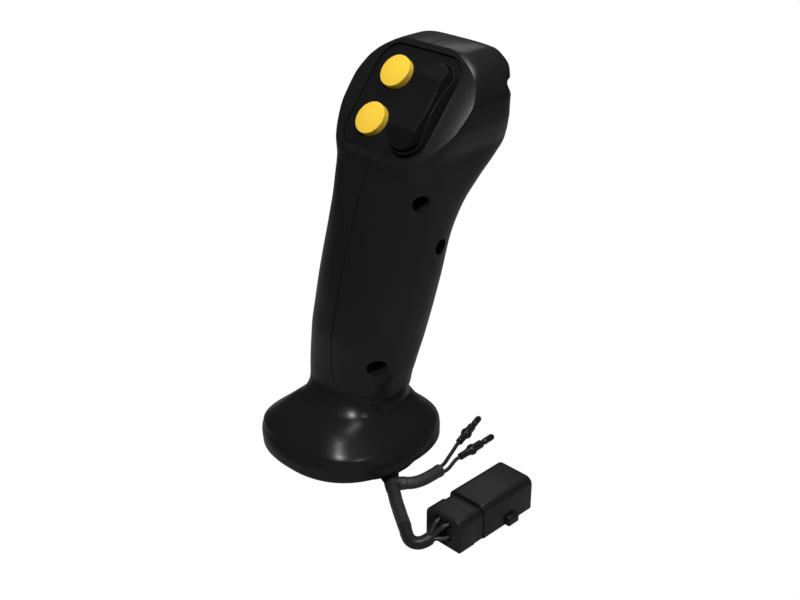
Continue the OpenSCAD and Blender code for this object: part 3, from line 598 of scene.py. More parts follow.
# %% Loft through the sections
def monotone(x, y, at):
    """Cubic through the points that never overshoots them."""
    h, slope = np.diff(x), np.diff(y) / np.diff(x)
    m = np.zeros(len(x))
    m[0], m[-1] = slope[0], slope[-1]
    for k in range(1, len(x) - 1):
        if slope[k - 1] * slope[k] > 0:
            w1, w2 = 2 * h[k] + h[k - 1], h[k] + 2 * h[k - 1]
            m[k] = (w1 + w2) / (w1 / slope[k - 1] + w2 / slope[k])
    i = np.clip(np.searchsorted(x, at) - 1, 0, len(h) - 1)
    t = (at - x[i]) / h[i]
    a, b = (1 + 2 * t) * (1 - t) ** 2, t * (1 - t) ** 2
    c, d = t * t * (3 - 2 * t), t * t * (t - 1)
    return a * y[i] + b * h[i] * m[i] + c * y[i + 1] + d * h[i] * m[i + 1]


def section(half_w, front, back, n_front, n_back, z, around):
    ring = []
    for i in range(around):
        a = 2 * math.pi * (i + 0.5) / around
        c, s = math.cos(a), math.sin(a)
        n = n_front if s < 0 else n_back
        k = (abs(c) ** n + abs(s) ** n) ** (-1 / n)
        ring.append((half_w * c * k, PALM_Y + (front + back) / 2 + (back - front) / 2 * s * k, z))
    return ring


def loft(stations, around, step_mm):
    table = np.array(stations, float)
    z = table[:, 0]
    heights = np.unique(np.concatenate([z, np.arange(z[0], z[-1], step_mm)]))
    columns = [monotone(z, table[:, k], heights) for k in range(1, 6)]
    return skin_rings([section(*values, height, around) for height, *values in zip(heights, *columns)])

# %% [markdown]
# ## Cutting the shell
# The same cuts that a tool maker would make are made with closed cutters: the hollow, the recess of the
# switch plate, the counterbores, and the block that parts the cover from the body. The solver for closed
# meshes is exact and quick. The recess has a fine chamfer, which is what catches the light along a moulded
# rim.

# %% Cutters
FACE = Matrix.Translation((0, PALM_Y + FACE_Y, FACE_Z)) @ Matrix.Rotation(FACE_TILT, 4, "X")
ACROSS = Matrix.Rotation(math.pi / 2, 4, "Y")
SWAP_YZ = Matrix(((1, 0, 0, 0), (0, 0, 1, 0), (0, 1, 0, 0), (0, 0, 0, 1)))
PLATE_W, PLATE_L, PLATE_T, PLATE_R, PLATE_V = 51.4, 53.4, 2.5, 10.5, -22.7
FIT = 0.15


def rounded_rect(w, l, r, steps=16):
    points = []
    for corner, (x, y) in enumerate(((1, 1), (-1, 1), (-1, -1), (1, -1))):
        for a in np.linspace(corner * math.pi / 2, (corner + 1) * math.pi / 2, steps):
            points.append((x * (w / 2 - r) + r * math.cos(a), y * (l / 2 - r) + r * math.sin(a)))
    return points


def stadium(w, l, steps=32):
    top = [(w / 2 * math.cos(a), (l - w) / 2 + w / 2 * math.sin(a)) for a in np.linspace(0, math.pi, steps)]
    return top + [(-x, -y) for x, y in top]


def stack(layers, matrix=None):
    """A solid from outlines of equal length at rising heights: [(outline, height), ...]."""
    return skin_rings([[(x, y, z) for x, y in outline] for outline, z in layers], True, matrix)


def prism(outline, low, high, matrix=None):
    return stack([(outline, low), (outline, high)], matrix)


def round_bar(x0, x1, diameter, y, z, sides=48):
    turn = Matrix.Translation((x0, y, z)) @ ACROSS
    return lathe([(diameter / 2, 0), (diameter / 2, x1 - x0)], sides, turn)


def post(x, y, z0, z1, diameter, sides=48):
    return lathe([(diameter / 2, z0), (diameter / 2, z1)], sides, Matrix.Translation((x, y, 0)))


def cut(mesh, cutters, operation="DIFFERENCE"):
    """Applies closed cutters to a closed mesh, one after the other."""
    base = bpy.data.objects.new("base", mesh)
    bpy.context.collection.objects.link(base)
    for cutter in cutters:
        tool = bpy.data.objects.new("tool", cutter)
        bpy.context.collection.objects.link(tool)
        modifier = base.modifiers.new("cut", "BOOLEAN")
        modifier.object, modifier.operation, modifier.solver = tool, operation, "MANIFOLD"
        evaluated = base.evaluated_get(bpy.context.evaluated_depsgraph_get())
        result = bpy.data.meshes.new_from_object(evaluated)
        base.modifiers.clear()
        base.data = result
        bpy.data.objects.remove(tool)
    done = base.data
    bpy.data.objects.remove(base)
    return done

# %% [markdown]
# No moulded edge is perfectly sharp. A prism's rim is rounded by outlines that draw in as they rise; a crease
# that a cut has left is beveled, and a thin bright line along it is what the eye then reads as an edge.

# %% Softened edges
def softened(outline, low, high, round_low=0.0, round_high=0.4, steps=5):
    """Outlines at rising heights for a prism with rounded edges; outline(inset) gives its shape."""
    layers = []
    for a in np.linspace(math.pi / 2, 0, steps) if round_low else [math.pi / 2]:
        layers.append((outline(round_low * (1 - math.cos(a))), low + round_low * (1 - math.sin(a))))
    for a in np.linspace(0, math.pi / 2, steps):
        layers.append((outline(round_high * (1 - math.cos(a))), high - round_high * (1 - math.sin(a))))
    return layers


def soften_creases(mesh, width_mm, above_degrees=30, segments=3):
    """Rounds the edges that a cut has left, after the slivers beside them are merged."""
    bm = bmesh.new()
    bm.from_mesh(mesh)
    bmesh.ops.remove_doubles(bm, verts=bm.verts, dist=0.12 * MM)
    bmesh.ops.dissolve_degenerate(bm, edges=bm.edges, dist=0.02 * MM)
    bend = math.radians(above_degrees)
    sharp = [e for e in bm.edges if e.is_manifold and e.calc_face_angle(0) > bend]
    bmesh.ops.bevel(bm, geom=sharp, offset=width_mm * MM, offset_type="OFFSET", segments=segments,
                    profile=0.5, affect="EDGES", clamp_overlap=True)
    bm.to_mesh(mesh)
    bm.free()
    return mesh

# %% [markdown]
# The head is cut off by a slanted plane, where the switches sit. The plane bends away a little near its
# sides, so one wide cutter with a curved lower edge shapes the whole front in a single cut.

# %% The skin and its flat face
def open_front():
    """The space in front of the switch face, which falls away towards its sides."""
    outline = [(x, RIM - CROWN * (abs(x) / CROWN_AT) ** 3) for x in np.linspace(-44, 44, 67)]
    outline += [(44, 60), (-44, 60)]
    return prism(outline, -75, 40, FACE @ SWAP_YZ)


skin = cut(loft(SKIN, 208, 1.4), [open_front()])
skin = soften_creases(skin, 0.7, 20)
print("skin:", len(skin.polygons), "faces")

# %% [markdown]
# The handle is two mouldings: the body, which carries the switches, and a cover on its right side, which is
# held by four screws. Both are the same skin, cut by the same block, so that they meet along an even gap.

# %% Body and cover
SCREWS = [(-10, 59.2), (26.5, 111.5), (13.8, 136.5), (63.5, 182.5)]
SEAM_Z, SEAM_R, PART_GAP, SEAM_GAP = FOOT + 32, 10, 0.5, 0.15
SCREW_RING, LEDGE = 20.5, 3.5
HEAD_CUT, BOSS, SEAT, SHANK = 8, 11, 6, 4
face_in = PLATE_T + 2.5 + RIM
INNER = [(FOOT + 30, .897 * HAND_W / 2 - WALL, -14.8 + WALL + .3, 26.8 - WALL, 2.3, 2.3)]
INNER += [(FOOT + z, w * HAND_W / 2 - WALL, f + WALL + .3, b - WALL, n, n) for z, w, f, b, n in HAND[2:]]
for k, (z, w, f, b, nf, nb) in enumerate(HEAD[:8]):
    front = on_face(HEAD_Z + z, face_in) if f is None else f + (WALL + 1 if k == 0 else face_in - 1)
    INNER.append((HEAD_Z + z, w * HEAD_W / 2 - WALL, front, b - WALL, nf, nb))
roof = HEAD_Z + 58.4 - WALL - 1
INNER.append((roof, .7 * HEAD_W / 2 - WALL, on_face(roof, face_in), 77 - WALL - 1.5, 5.5, 4.4))
hollow = cut(loft(INNER, 64, 4), [round_bar(-60, 60, BOSS, y, z) for y, z in SCREWS])


def recess():
    """The seat of the switch plate, with a fine chamfer at its mouth, and the window in its floor."""
    upper = []
    for more, height in ((0, -PLATE_T), (0, RIM - 0.5), (0.5, RIM), (8, RIM + 7.5)):
        w, l = PLATE_W + 2 * (FIT + more), PLATE_L + 2 * (FIT + more)
        upper.append((rounded_rect(w, l, PLATE_R + FIT + more), height))
    lower = rounded_rect(PLATE_W - 2 * LEDGE, PLATE_L - 2 * LEDGE, PLATE_R - LEDGE)
    place = FACE @ Matrix.Translation((0, PLATE_V, 0))
    return [stack(upper, place), prism(lower, -24, 0, place)]


def cover_block(side_gap, under_gap):
    """The space of the cover: right of the parting plane and above the seam, with a round corner."""
    outline = [(80, SEAM_Z + under_gap)]
    for a in np.linspace(-math.pi / 2, -math.pi, 24):
        r = SEAM_R - max(side_gap / 2, under_gap)
        outline.append((SEAM_R + side_gap / 2 + r * math.cos(a), SEAM_Z + SEAM_R + r * math.sin(a)))
    outline += [(side_gap, SEAM_Z + SEAM_R + 1), (side_gap, 260), (80, 260)]
    return prism(outline, -150, 150, Matrix.Rotation(math.pi / 2, 4, "X"))


bores = [round_bar(-11, 1, SHANK + 1.8, y, z) for y, z in SCREWS]
wells = [post(0, 0, FOOT + 9, FOOT + 33, 34), post(0, 0, FOOT - 1, FOOT + 11, 20)]
wells.append(post(14.3, -.3, FOOT - 1, FOOT + 11, 8))
wells.append(post(0, 0, LIP_Z - 1, FOOT, 62, 96))
quarters = [math.radians(20 + 90 * k) for k in range(4)]
foot_screws = [(SCREW_RING * math.cos(a), SCREW_RING * math.sin(a)) for a in quarters]
wells += [post(x, y, FOOT - 1, FOOT + 8, SHANK + 1.8) for x, y in foot_screws]
cored = section(PALM_W / 2 - 3.6, -PALM_D / 2 + 3.6, PALM_D / 2 - 3.6, 2.4, 2.4, 0, 96)
core = prism([p[:2] for p in cored], LIP_Z - 1, FOOT + 8)
rib = [(0, -1), (60, -1), (60, 1), (0, 1)]
ribs = []
for k in range(12):
    ribs.append(prism(rib, FOOT - 2, FOOT + 10, Matrix.Rotation(math.radians(30 * k), 4, "Z")))
core = cut(core, [post(0, 0, FOOT - 2, FOOT + 10, 62, 96)] + ribs)
cuts = [hollow.copy()] + recess()
body_mesh = cut(skin.copy(), [cover_block(0, 0)] + cuts + bores + wells + [core])
add_piece("moulded_body", body_mesh, body_black, ["main_body"], slot="body_plastic")
cover_mesh = cut(skin.copy(), [cover_block(PART_GAP, SEAM_GAP)], "INTERSECT")
through = [round_bar(-1, 60, SHANK + .4, y, z) for y, z in SCREWS]
through += [round_bar(SEAT, 60, HEAD_CUT, y, z) for y, z in SCREWS]
cover_mesh = cut(cover_mesh, [hollow.copy()] + recess() + through)
add_piece("moulded_cover", cover_mesh, body_black, ["right_cover"], slot="body_plastic")
print("body:", len(body_mesh.polygons), "faces; cover:", len(cover_mesh.polygons), "faces")

# %% [markdown]
# ## The switch plate
# The plate is a flat rounded rectangle whose edge is barely broken. Each button hole has a small lead-in, so
# that a cap doesn't scrape; two posts behind it carry the switches.

# %% Switch plate
ON_PLATE = FACE @ Matrix.Translation((0, PLATE_V, 0))
BUTTON_X, BUTTON_V, BUTTON_D = -10.9, {"upper_button": -10.2, "lower_button": -35.1}, 16.2
ROCKER_X, ROCKER_V = 15.3, -23.7
TUB_W, TUB_L = 12, 40
POSTS = (-19.4, -2.2)


def on_plate(x, v, n=0):
    return FACE @ Matrix.Translation((x, v, n))


def pin_or_hole(x, v, profile, sides=64):
    return lathe(profile, sides, on_plate(x, v))


ROCKER_AT = on_plate(ROCKER_X, ROCKER_V)



def plate_shape(inset):
    return rounded_rect(PLATE_W - 2 * inset, PLATE_L - 2 * inset, PLATE_R - inset)


plate_mesh = stack(softened(plate_shape, -PLATE_T, 0, 0, 0.3), ON_PLATE)
posts = [pin_or_hole(x, PLATE_V, [(2.3, -15.8), (2.3, -PLATE_T + 1)], 32) for x in POSTS]
plate_mesh = cut(plate_mesh, posts, "UNION")
hole = BUTTON_D / 2 + FIT
lead_in = [(hole, -4), (hole, -0.35), (hole + 0.35, 0), (hole + 0.4, 1)]
holes = [pin_or_hole(BUTTON_X, v, lead_in) for v in BUTTON_V.values()]
holes.append(prism(stadium(TUB_W + 2 * FIT, TUB_L + 2 * FIT), -4, 1, ROCKER_AT))
holes += [pin_or_hole(x, PLATE_V, [(0.95, -17), (0.95, -7.8)], 24) for x in POSTS]
plate_mesh = cut(plate_mesh, holes)
add_piece("switch_plate", plate_mesh, plate_black, ["face_plate"], slot="plate_plastic")
print("plate:", len(plate_mesh.polygons), "faces")

# %% [markdown]
# ## Push button caps
# A cap is turned about its own axis: a skirt that guides it, a tight edge that catches the light, and a crown
# of large radius. Its underside is hollow, as the moulding is.

# %% Button caps
def cap_profile(radius, skirt, rise, crown, edge):
    profile = [(0, rise - 1.8), (radius - 1.5, rise - 1.8), (radius - 1.5, -skirt), (radius, -skirt)]
    for a in np.linspace(0, math.pi / 2 * 0.86, 8):
        profile.append((radius - edge * (1 - math.cos(a)), rise - edge * (1 - math.sin(a))))
    start_r, start_z = profile[-1]
    for t in np.linspace(0.08, 1, 14):
        profile.append((start_r * (1 - t), start_z + (rise + crown - start_z) * (1 - (1 - t) ** 2)))
    return profile


for body, v in BUTTON_V.items():
    mesh = lathe(cap_profile(BUTTON_D / 2, 4.5, 3.0, 0.6, 0.35), 96, on_plate(BUTTON_X, v))
    add_piece(body + "_crown", mesh, button_yellow, [body + "_cap"], body, "button_yellow", smooth=50)
    print(body, "cap:", len(mesh.polygons), "faces")

# %% [markdown]
# ## Rocker
# The cap is a long pill with two thumb ridges and a ribbed hollow between them. It is described by heights:
# at each place along it one rule gives the top, and the distance from the rim takes a little off, which
# rounds the edge all the way round. Sections across the pill are then joined in one skin.

# %% Rocker cap
ROCKER_W, ROCKER_L, PIVOT, RIDGE, RIDGE_H, DIP, END_H = 17.4, 44, 4, 12.9, 10.2, 8.7, 5.4
RIBS = [-10.4 + 1.6 * k for k in range(14)]
SCORES = (13.7, 15.0, 16.3)


def rocker_top(s):
    reach = abs(s)
    slope = RIDGE_H - (reach - RIDGE) * (RIDGE_H - END_H) / (ROCKER_L / 2 - RIDGE)
    dish = DIP + (RIDGE_H - DIP) * (reach / RIDGE) ** 2
    height = -0.3 * math.log(math.exp(-slope / 0.3) + math.exp(-dish / 0.3))
    for rib in RIBS:
        height -= 0.05 * math.exp(-((s - rib) / 0.24) ** 2)
    for score in SCORES:
        height -= 0.20 * math.exp(-((s - score) / 0.17) ** 2)
    return height


def rocker_under(s):
    return max(1.6, 4.7 - (ROCKER_L / 2 + 1 - abs(s)) * 3.1 / (ROCKER_L / 2 - 1.4)) if abs(s) > 2.4 else 1.6


def half_width(s):
    straight = (ROCKER_L - ROCKER_W) / 2
    over = max(0, abs(s) - straight)
    return math.sqrt(max((ROCKER_W / 2) ** 2 - over ** 2, 4e-4))


def rim_drop(x, s, edge=0.7):
    straight = (ROCKER_L - ROCKER_W) / 2
    over = max(0, abs(s) - straight)
    inside = ROCKER_W / 2 - math.hypot(x, over)
    return edge - math.sqrt(max(edge ** 2 - (edge - inside) ** 2, 0)) if inside < edge else 0


across = np.sin(np.linspace(-math.pi / 2, math.pi / 2, 41))
closing = np.geomspace(0.002, 0.4, 8)
along = np.unique(np.concatenate([np.arange(-21.6, 21.61, 0.2), 22 - closing, -22 + closing]))
rings = []
for s in along:
    half, top, under = half_width(s), rocker_top(s), rocker_under(s)
    ring = [(half * t, s, top - rim_drop(half * t, s)) for t in across]
    ring += [(half, s, under), (-half, s, under)]
    rings.append(ring)
rocker_mesh = skin_rings(rings, True, ROCKER_AT)
inside = prism(stadium(ROCKER_W - 3.2, ROCKER_L - 5), -1, 6.4, ROCKER_AT)
keep = prism([(-20, -3.2), (20, -3.2), (20, 3.2), (-20, 3.2)], -3, 12, ROCKER_AT)
inside = cut(inside, [keep])
bore = lathe([(1.3, -9), (1.3, 9)], 32, on_plate(ROCKER_X, ROCKER_V, PIVOT) @ ACROSS)
rocker_mesh = cut(rocker_mesh, [inside, bore])
legs = [lathe([(1.3, -9), (1.3, 6.9)], 24, on_plate(ROCKER_X, ROCKER_V + s)) for s in (-11, 11)]
rocker_mesh = cut(rocker_mesh, legs, "UNION")
add_piece("rocker_pill", rocker_mesh, rocker_black, ["rocker_cap"], "rocker", "rocker_plastic", smooth=40)
print("rocker:", len(rocker_mesh.polygons), "faces")

# %% [markdown]
# The rocker stands in a frame whose wall rises to an arch at the pivot and sinks towards the ends, so that a
# thumb can reach over it. The wall is one closed hoop: a rounded section carried round the outline, with its
# height read from where it is.

# %% Rocker frame
def hoop(rings):
    """Joins equal rings one after the other and the last with the first."""
    size = len(rings[0])
    faces = []
    for j in range(len(rings)):
        n = (j + 1) % len(rings)
        for i in range(size):
            k = (i + 1) % size
            faces.append((j * size + i, j * size + k, n * size + k, n * size + i))
    return faces


SLOT_W, SLOT_L = ROCKER_W + 2 * FIT, ROCKER_L + 2 * FIT + 0.4
FRAME_WALL, FRAME_BASE = 0.9, 1.1


def arch(s):
    reach = RIDGE + 4
    return 3.2 + 3.3 * max(0, 1 - (s / reach) ** 2) if abs(s) < reach else 3.2


def dense_stadium(w, l, step=1.0):
    corner, points = stadium(w, l, 28), []
    for p, q in zip(corner, corner[1:] + corner[:1]):
        count = max(1, int(math.dist(p, q) / step))
        points += [(p[0] + (q[0] - p[0]) * k / count, p[1] + (q[1] - p[1]) * k / count) for k in range(count)]
    return points


inner, rings, edge = dense_stadium(SLOT_W, SLOT_L), [], 0.4
for x, y in inner:
    pull = max(0, abs(y) - (SLOT_L - SLOT_W) / 2) * (1 if y > 0 else -1)
    out = Vector((x, pull, 0)).normalized()
    top = arch(y)
    ring = [(0, 0.05), (FRAME_WALL, 0.05)]
    for a in np.linspace(0, math.pi / 2, 5):
        ring.append((FRAME_WALL - edge * (1 - math.cos(a)), top - edge * (1 - math.sin(a))))
    for a in np.linspace(math.pi / 2, 0, 5):
        ring.append((edge * (1 - math.cos(a)), top - edge * (1 - math.sin(a))))
    rings.append([(x + out.x * d, y + out.y * d, z) for d, z in ring])
wall_mesh = mesh_from([p for ring in rings for p in ring], hoop(rings), ROCKER_AT)


def base_shape(inset):
    return stadium(SLOT_W + 2 * FRAME_WALL - 2 * inset, SLOT_L + 2 * FRAME_WALL - 2 * inset)


base_mesh = stack(softened(base_shape, 0.02, FRAME_BASE, 0, 0.02), ROCKER_AT)
tub_mesh = prism(stadium(TUB_W, TUB_L), -14.2, 0.2, ROCKER_AT)
frame_mesh = cut(base_mesh, [wall_mesh, tub_mesh], "UNION")
hollows = [prism(stadium(TUB_W - 2.6, TUB_L - 2.6), -13, 5, ROCKER_AT)]
hollows.append(lathe([(1.27, -12), (1.27, 12)], 32, on_plate(ROCKER_X, ROCKER_V, PIVOT) @ ACROSS))
hollows += [lathe([(2.2, -16), (2.2, -11)], 32, on_plate(ROCKER_X, ROCKER_V + s)) for s in (-11, 11)]
frame_mesh = cut(frame_mesh, hollows)
add_piece("rocker_surround", frame_mesh, plate_black, ["rocker_frame"], slot="plate_plastic")
print("frame:", len(frame_mesh.polygons), "faces")

# %% [markdown]
# ## Sealed connector
# The rear part takes the wires; the front housing is a step higher and locks over it. Both are boxes with
# a generous radius above and a tight one below, drawn as outlines at rising depths whose ends are rounded.

# %% Connector
CON_X, CON_REAR, CON_SPLIT, CON_FRONT = 83.5, -28.5, -12.9, 20.2
CAVITIES = [(x, z) for x in (-3, 3) for z in (5.4, 12.6)]
CON_MIDDLE = 8.8


def block(w, h, upper=3.8, lower=1.4, steps=10):
    """Outline of a box that stands on its base, as a function of an inset."""
    def outline(inset):
        points = []
        for k, (x, y, r) in enumerate(((1, 1, upper), (-1, 1, upper), (-1, 0, lower), (1, 0, lower))):
            for a in np.linspace(k * math.pi / 2, (k + 1) * math.pi / 2, steps):
                corner = (x * (w / 2 - r), h - r if y else r)
                reach = r - inset
                points.append((corner[0] + reach * math.cos(a), corner[1] + reach * math.sin(a)))
        return points
    return outline


def con_at(y):
    return Matrix.Translation((CON_X, y, 0.05)) @ SWAP_YZ


def cavity(x, z, diameter, y0, y1):
    return lathe([(diameter / 2, 0), (diameter / 2, y1 - y0)], 32, con_at(y0) @ Matrix.Translation((x, z, 0)))


def middle_rect(w, h, r):
    return [(x, z + CON_MIDDLE) for x, z in rounded_rect(w, h, r)]


def tab_shape(inset):
    corners = rounded_rect(5.6 - 2 * inset, 5.0 - 2 * inset, 1.2 - inset, 6)
    return [(x + 2.1, z + 2.55) for x, z in corners]


rear_mesh = stack(softened(block(21.2, 16.5), 0, 9.6, 0.5, 0.25), con_at(CON_REAR))
waist = stack(softened(block(20.4, 15.9), 0, 8.0, 0, 0.02), con_at(CON_SPLIT - 8.1))
rear_mesh = cut(rear_mesh, [waist], "UNION")
rear_cuts = [cavity(x, z, 3.6, CON_REAR - 1, -10) for x, z in CAVITIES]
seal_room = prism(middle_rect(14, 11.6, 3), 0, 20, con_at(-24.4))
rear_mesh = cut(rear_mesh, rear_cuts + [seal_room])
plug_rear = add_piece("plug_rear", rear_mesh, connector_black, ["connector_rear"], slot="connector_plastic")
house_mesh = stack(softened(block(21.6, 17.6), 0, CON_FRONT - CON_SPLIT, 0.5, 0.5), con_at(CON_SPLIT))
tab = stack(softened(tab_shape, 0, 6.4, 0.4, 0.4), con_at(2.3) @ Matrix.Translation((8.2, 0, 0)))
house_mesh = cut(house_mesh, [tab], "UNION")
mouth = ((0, 0), (0, 12.5), (0.5, 13.1), (0.5, 14))
socket = [(middle_rect(16 + 2 * g, 12 + 2 * g, 2.6 + g), n) for g, n in mouth]
house_cuts = [stack(socket, con_at(CON_FRONT - 13.1))]
house_cuts += [cavity(x, z, 3.2, CON_SPLIT - 1, CON_FRONT - 12) for x, z in CAVITIES]
house_mesh = cut(house_mesh, house_cuts)
plug_housing = add_piece("plug_housing", house_mesh, connector_black, ["connector_housing"],
                         slot="connector_plastic")
print("connector:", len(rear_mesh.polygons) + len(house_mesh.polygons), "faces")

# %% [markdown]
# ## Bullet terminals
# Each is a turned piece on the end of a thin lead: a sleeve over the crimp, a ball that a thumb can push, a
# collar, a neck and the bullet head. One profile serves both, stood along the way that its lead points.

# %% Bullet terminals
BALL_R = 2.85
BOOT_PROFILE = [(0, 0), (1.55, 0), (1.8, 0.25), (1.8, 5.4), (1.95, 5.7)]
BOOT_PROFILE += [(BALL_R * math.sin(a), 9 - BALL_R * math.cos(a)) for a in np.linspace(0.8, 2.34, 14)]
BOOT_PROFILE += [(2.1, 11.4), (2.1, 12.4), (1.85, 12.6), (1.85, 12.9), (2.1, 13.1)]
BOOT_PROFILE += [(2.1, 15.9), (1.9, 16.2), (1.24, 16.2), (1.24, 12.4), (0, 12.4)]
PIN_PROFILE = [(0, 12.6), (1.2, 12.6), (1.2, 16.6), (1.38, 16.8), (1.38, 18.3), (1.65, 18.7), (1.65, 24)]
PIN_PROFILE += [(1.65 * math.cos(a), 24 + 2 * math.sin(a)) for a in np.linspace(0.2, math.pi / 2, 7)]
terminals = {}
for name, lead in (("bullet_a", "lead_a"), ("bullet_b", "lead_b")):
    end, before = Vector(LEADS[lead][-1]), Vector(LEADS[lead][-2])
    way = Vector((end.x - before.x, end.y - before.y, 0)).normalized()
    stand = aim(end + way * 0.35, way)
    boot = add_piece(name + "_grip", lathe(BOOT_PROFILE, 40, stand), terminal_gloss, [name + "_boot"],
                     slot="bullet_boot_rubber")
    pin = add_piece(name + "_head", lathe(PIN_PROFILE, 32, stand), dark_pin, [name + "_pin"],
                    slot="bullet_pin_metal")
    terminals[name] = (boot, pin)
print("terminals:", len(terminals))

# %% [markdown]
# ## Pieces whose form is already right
# The fork, the strain relief and the turned parts have their true shape in the frame. Their triangles are
# merged in a copy, so that the round parts can be shaded as round.

# %% Merged copies
def merged(node, name, material, slot, body="root", smooth=32):
    mesh = NODES[node].data.copy()
    bm = bmesh.new()
    bm.from_mesh(mesh)
    bmesh.ops.remove_doubles(bm, verts=bm.verts, dist=1e-6)
    bmesh.ops.dissolve_limit(bm, angle_limit=math.radians(0.5), verts=bm.verts, edges=bm.edges)
    bm.to_mesh(mesh)
    bm.free()
    return add_piece(name, mesh, material, [node], body, slot, smooth)


fork_boot = merged("breakout_boot", "fork_boot", boot_rubber, "cable_rubber", smooth=40)
relief = merged("strain_relief", "relief", boot_rubber, "cable_rubber")
short_ring = merged("short_ring", "short_collar", shrink_black, "shrink_tube")
merged("adapter", "turned_adapter", adapter_black, "adapter_metal")
merged("clamp_screw", "clamp_grub", black_steel, "black_steel")
merged("cover_inserts", "knurled_inserts", brass, "brass")
# The pivot pin is steel, but it takes the black steel finish: painted shade, so that it shows no brighter than the
# dark inside the rocker.
merged("rocker_pin", "pivot_pin", black_steel, "spring_steel")
for side in ("upper", "lower"):
    merged(side + "_button_housing", side + "_housing_moulding", inner_black, "inner_plastic")
print("harness pieces merged:", len(fork_boot.data.polygons) + len(relief.data.polygons), "faces")

# %% [markdown]
# ## Screws and springs
# Ten screws come in three sizes and four springs in two, so each is described once and grown at its places.
# A tree has named sizes; it ends by making the instances real and giving them their finish, and its result is
# kept as a plain mesh.

# %% Growing a repeated piece
class Growth:
    """A Geometry Nodes tree that grows one described shape at every point it is given."""

    def __init__(self, name, sizes):
        self.tree = bpy.data.node_groups.new(name, "GeometryNodeTree")
        sockets = self.tree.interface
        sockets.new_socket("Points", in_out="INPUT", socket_type="NodeSocketGeometry")
        for key in sizes:
            sockets.new_socket(key, in_out="INPUT", socket_type="NodeSocketFloat")
        sockets.new_socket("Finish", in_out="INPUT", socket_type="NodeSocketMaterial")
        sockets.new_socket("Geometry", in_out="OUTPUT", socket_type="NodeSocketGeometry")
        self.inputs = self.tree.nodes.new("NodeGroupInput").outputs

    def node(self, kind, inputs, settings=None, output=0):
        node = self.tree.nodes.new(kind)
        for key, value in (settings or {}).items():
            setattr(node, key, value)
        for key, value in inputs.items():
            if isinstance(value, bpy.types.NodeSocket):
                self.tree.links.new(value, node.inputs[key])
            else:
                node.inputs[key].default_value = value
        return node.outputs[output]

    def times(self, socket, factor):
        return self.node("ShaderNodeMath", {0: socket, 1: factor}, {"operation": "MULTIPLY"})

    def lifted(self, shape, height):
        where = self.node("ShaderNodeCombineXYZ", {"Z": height})
        return self.node("GeometryNodeTransform", {"Geometry": shape, "Translation": where})

    def end(self, shape):
        places = {"Points": self.inputs["Points"], "Instance": shape}
        grown = self.node("GeometryNodeInstanceOnPoints", places)
        real = self.node("GeometryNodeRealizeInstances", {"Geometry": grown})
        done = self.node("GeometryNodeSetMaterial", {"Geometry": real, "Material": self.inputs["Finish"]})
        out = self.tree.nodes.new("NodeGroupOutput")
        self.tree.links.new(done, out.inputs[0])


def grow(growth, places_mm, sizes_mm, finish, matrix, counts=()):
    """Grows the shape at places given in the object's frame, its Z along the matrix's Z."""
    local = [matrix.inverted() @ Vector(p) * MM for p in places_mm]
    seed = bpy.data.meshes.new("places")
    seed.from_pydata(local, [], [])
    host = bpy.data.objects.new("host", seed)
    bpy.context.collection.objects.link(host)
    modifier = host.modifiers.new("grow", "NODES")
    modifier.node_group = growth.tree
    for item in growth.tree.interface.items_tree:
        if item.name in sizes_mm:
            scale = 1 if item.name in counts else MM
            modifier[item.identifier] = float(sizes_mm[item.name] * scale)
        elif item.name == "Finish":
            modifier[item.identifier] = finish
    host.update_tag()
    evaluated = host.evaluated_get(bpy.context.evaluated_depsgraph_get())
    mesh = bpy.data.meshes.new_from_object(evaluated)
    host.modifiers.remove(modifier)
    bpy.data.objects.remove(host)
    place = matrix.copy()
    place.translation = matrix.translation * MM
    mesh.transform(place)
    return mesh

# %% [markdown]
# A socket-head screw is two cylinders with a six-sided hole in the wider one. Its sizes are half-measures of
# the named widths, so one tree makes all three screws.

# %% Socket-head screws
SCREW_SIZES = ("Head Width", "Head Height", "Shank Width", "Length", "Key Width")
screw = Growth("socket_screw", SCREW_SIZES)
half = {key: screw.times(screw.inputs[key], 0.5) for key in SCREW_SIZES}
length, height = screw.inputs["Length"], screw.inputs["Head Height"]
shank_sizes = {"Vertices": 24, "Radius": half["Shank Width"], "Depth": length}
shank = screw.node("GeometryNodeMeshCylinder", shank_sizes)
shank = screw.lifted(shank, half["Length"])
head = screw.node("GeometryNodeMeshCylinder", {"Vertices": 40, "Radius": half["Head Width"], "Depth": height})
middle = screw.node("ShaderNodeMath", {0: length, 1: half["Head Height"]}, {"operation": "ADD"})
head = screw.lifted(head, middle)
key = screw.node("GeometryNodeMeshCylinder", {"Vertices": 6, "Radius": half["Key Width"], "Depth": height})
top = screw.node("ShaderNodeMath", {0: length, 1: height}, {"operation": "ADD"})
key = screw.lifted(key, top)
head = screw.node("GeometryNodeMeshBoolean", {"Mesh 1": head, "Mesh 2": key}, {"operation": "DIFFERENCE"})
screw.end(screw.node("GeometryNodeJoinGeometry", {"Geometry": head}))
join = next(n for n in screw.tree.nodes if n.bl_idname == "GeometryNodeJoinGeometry")
screw.tree.links.new(shank, join.inputs[0])

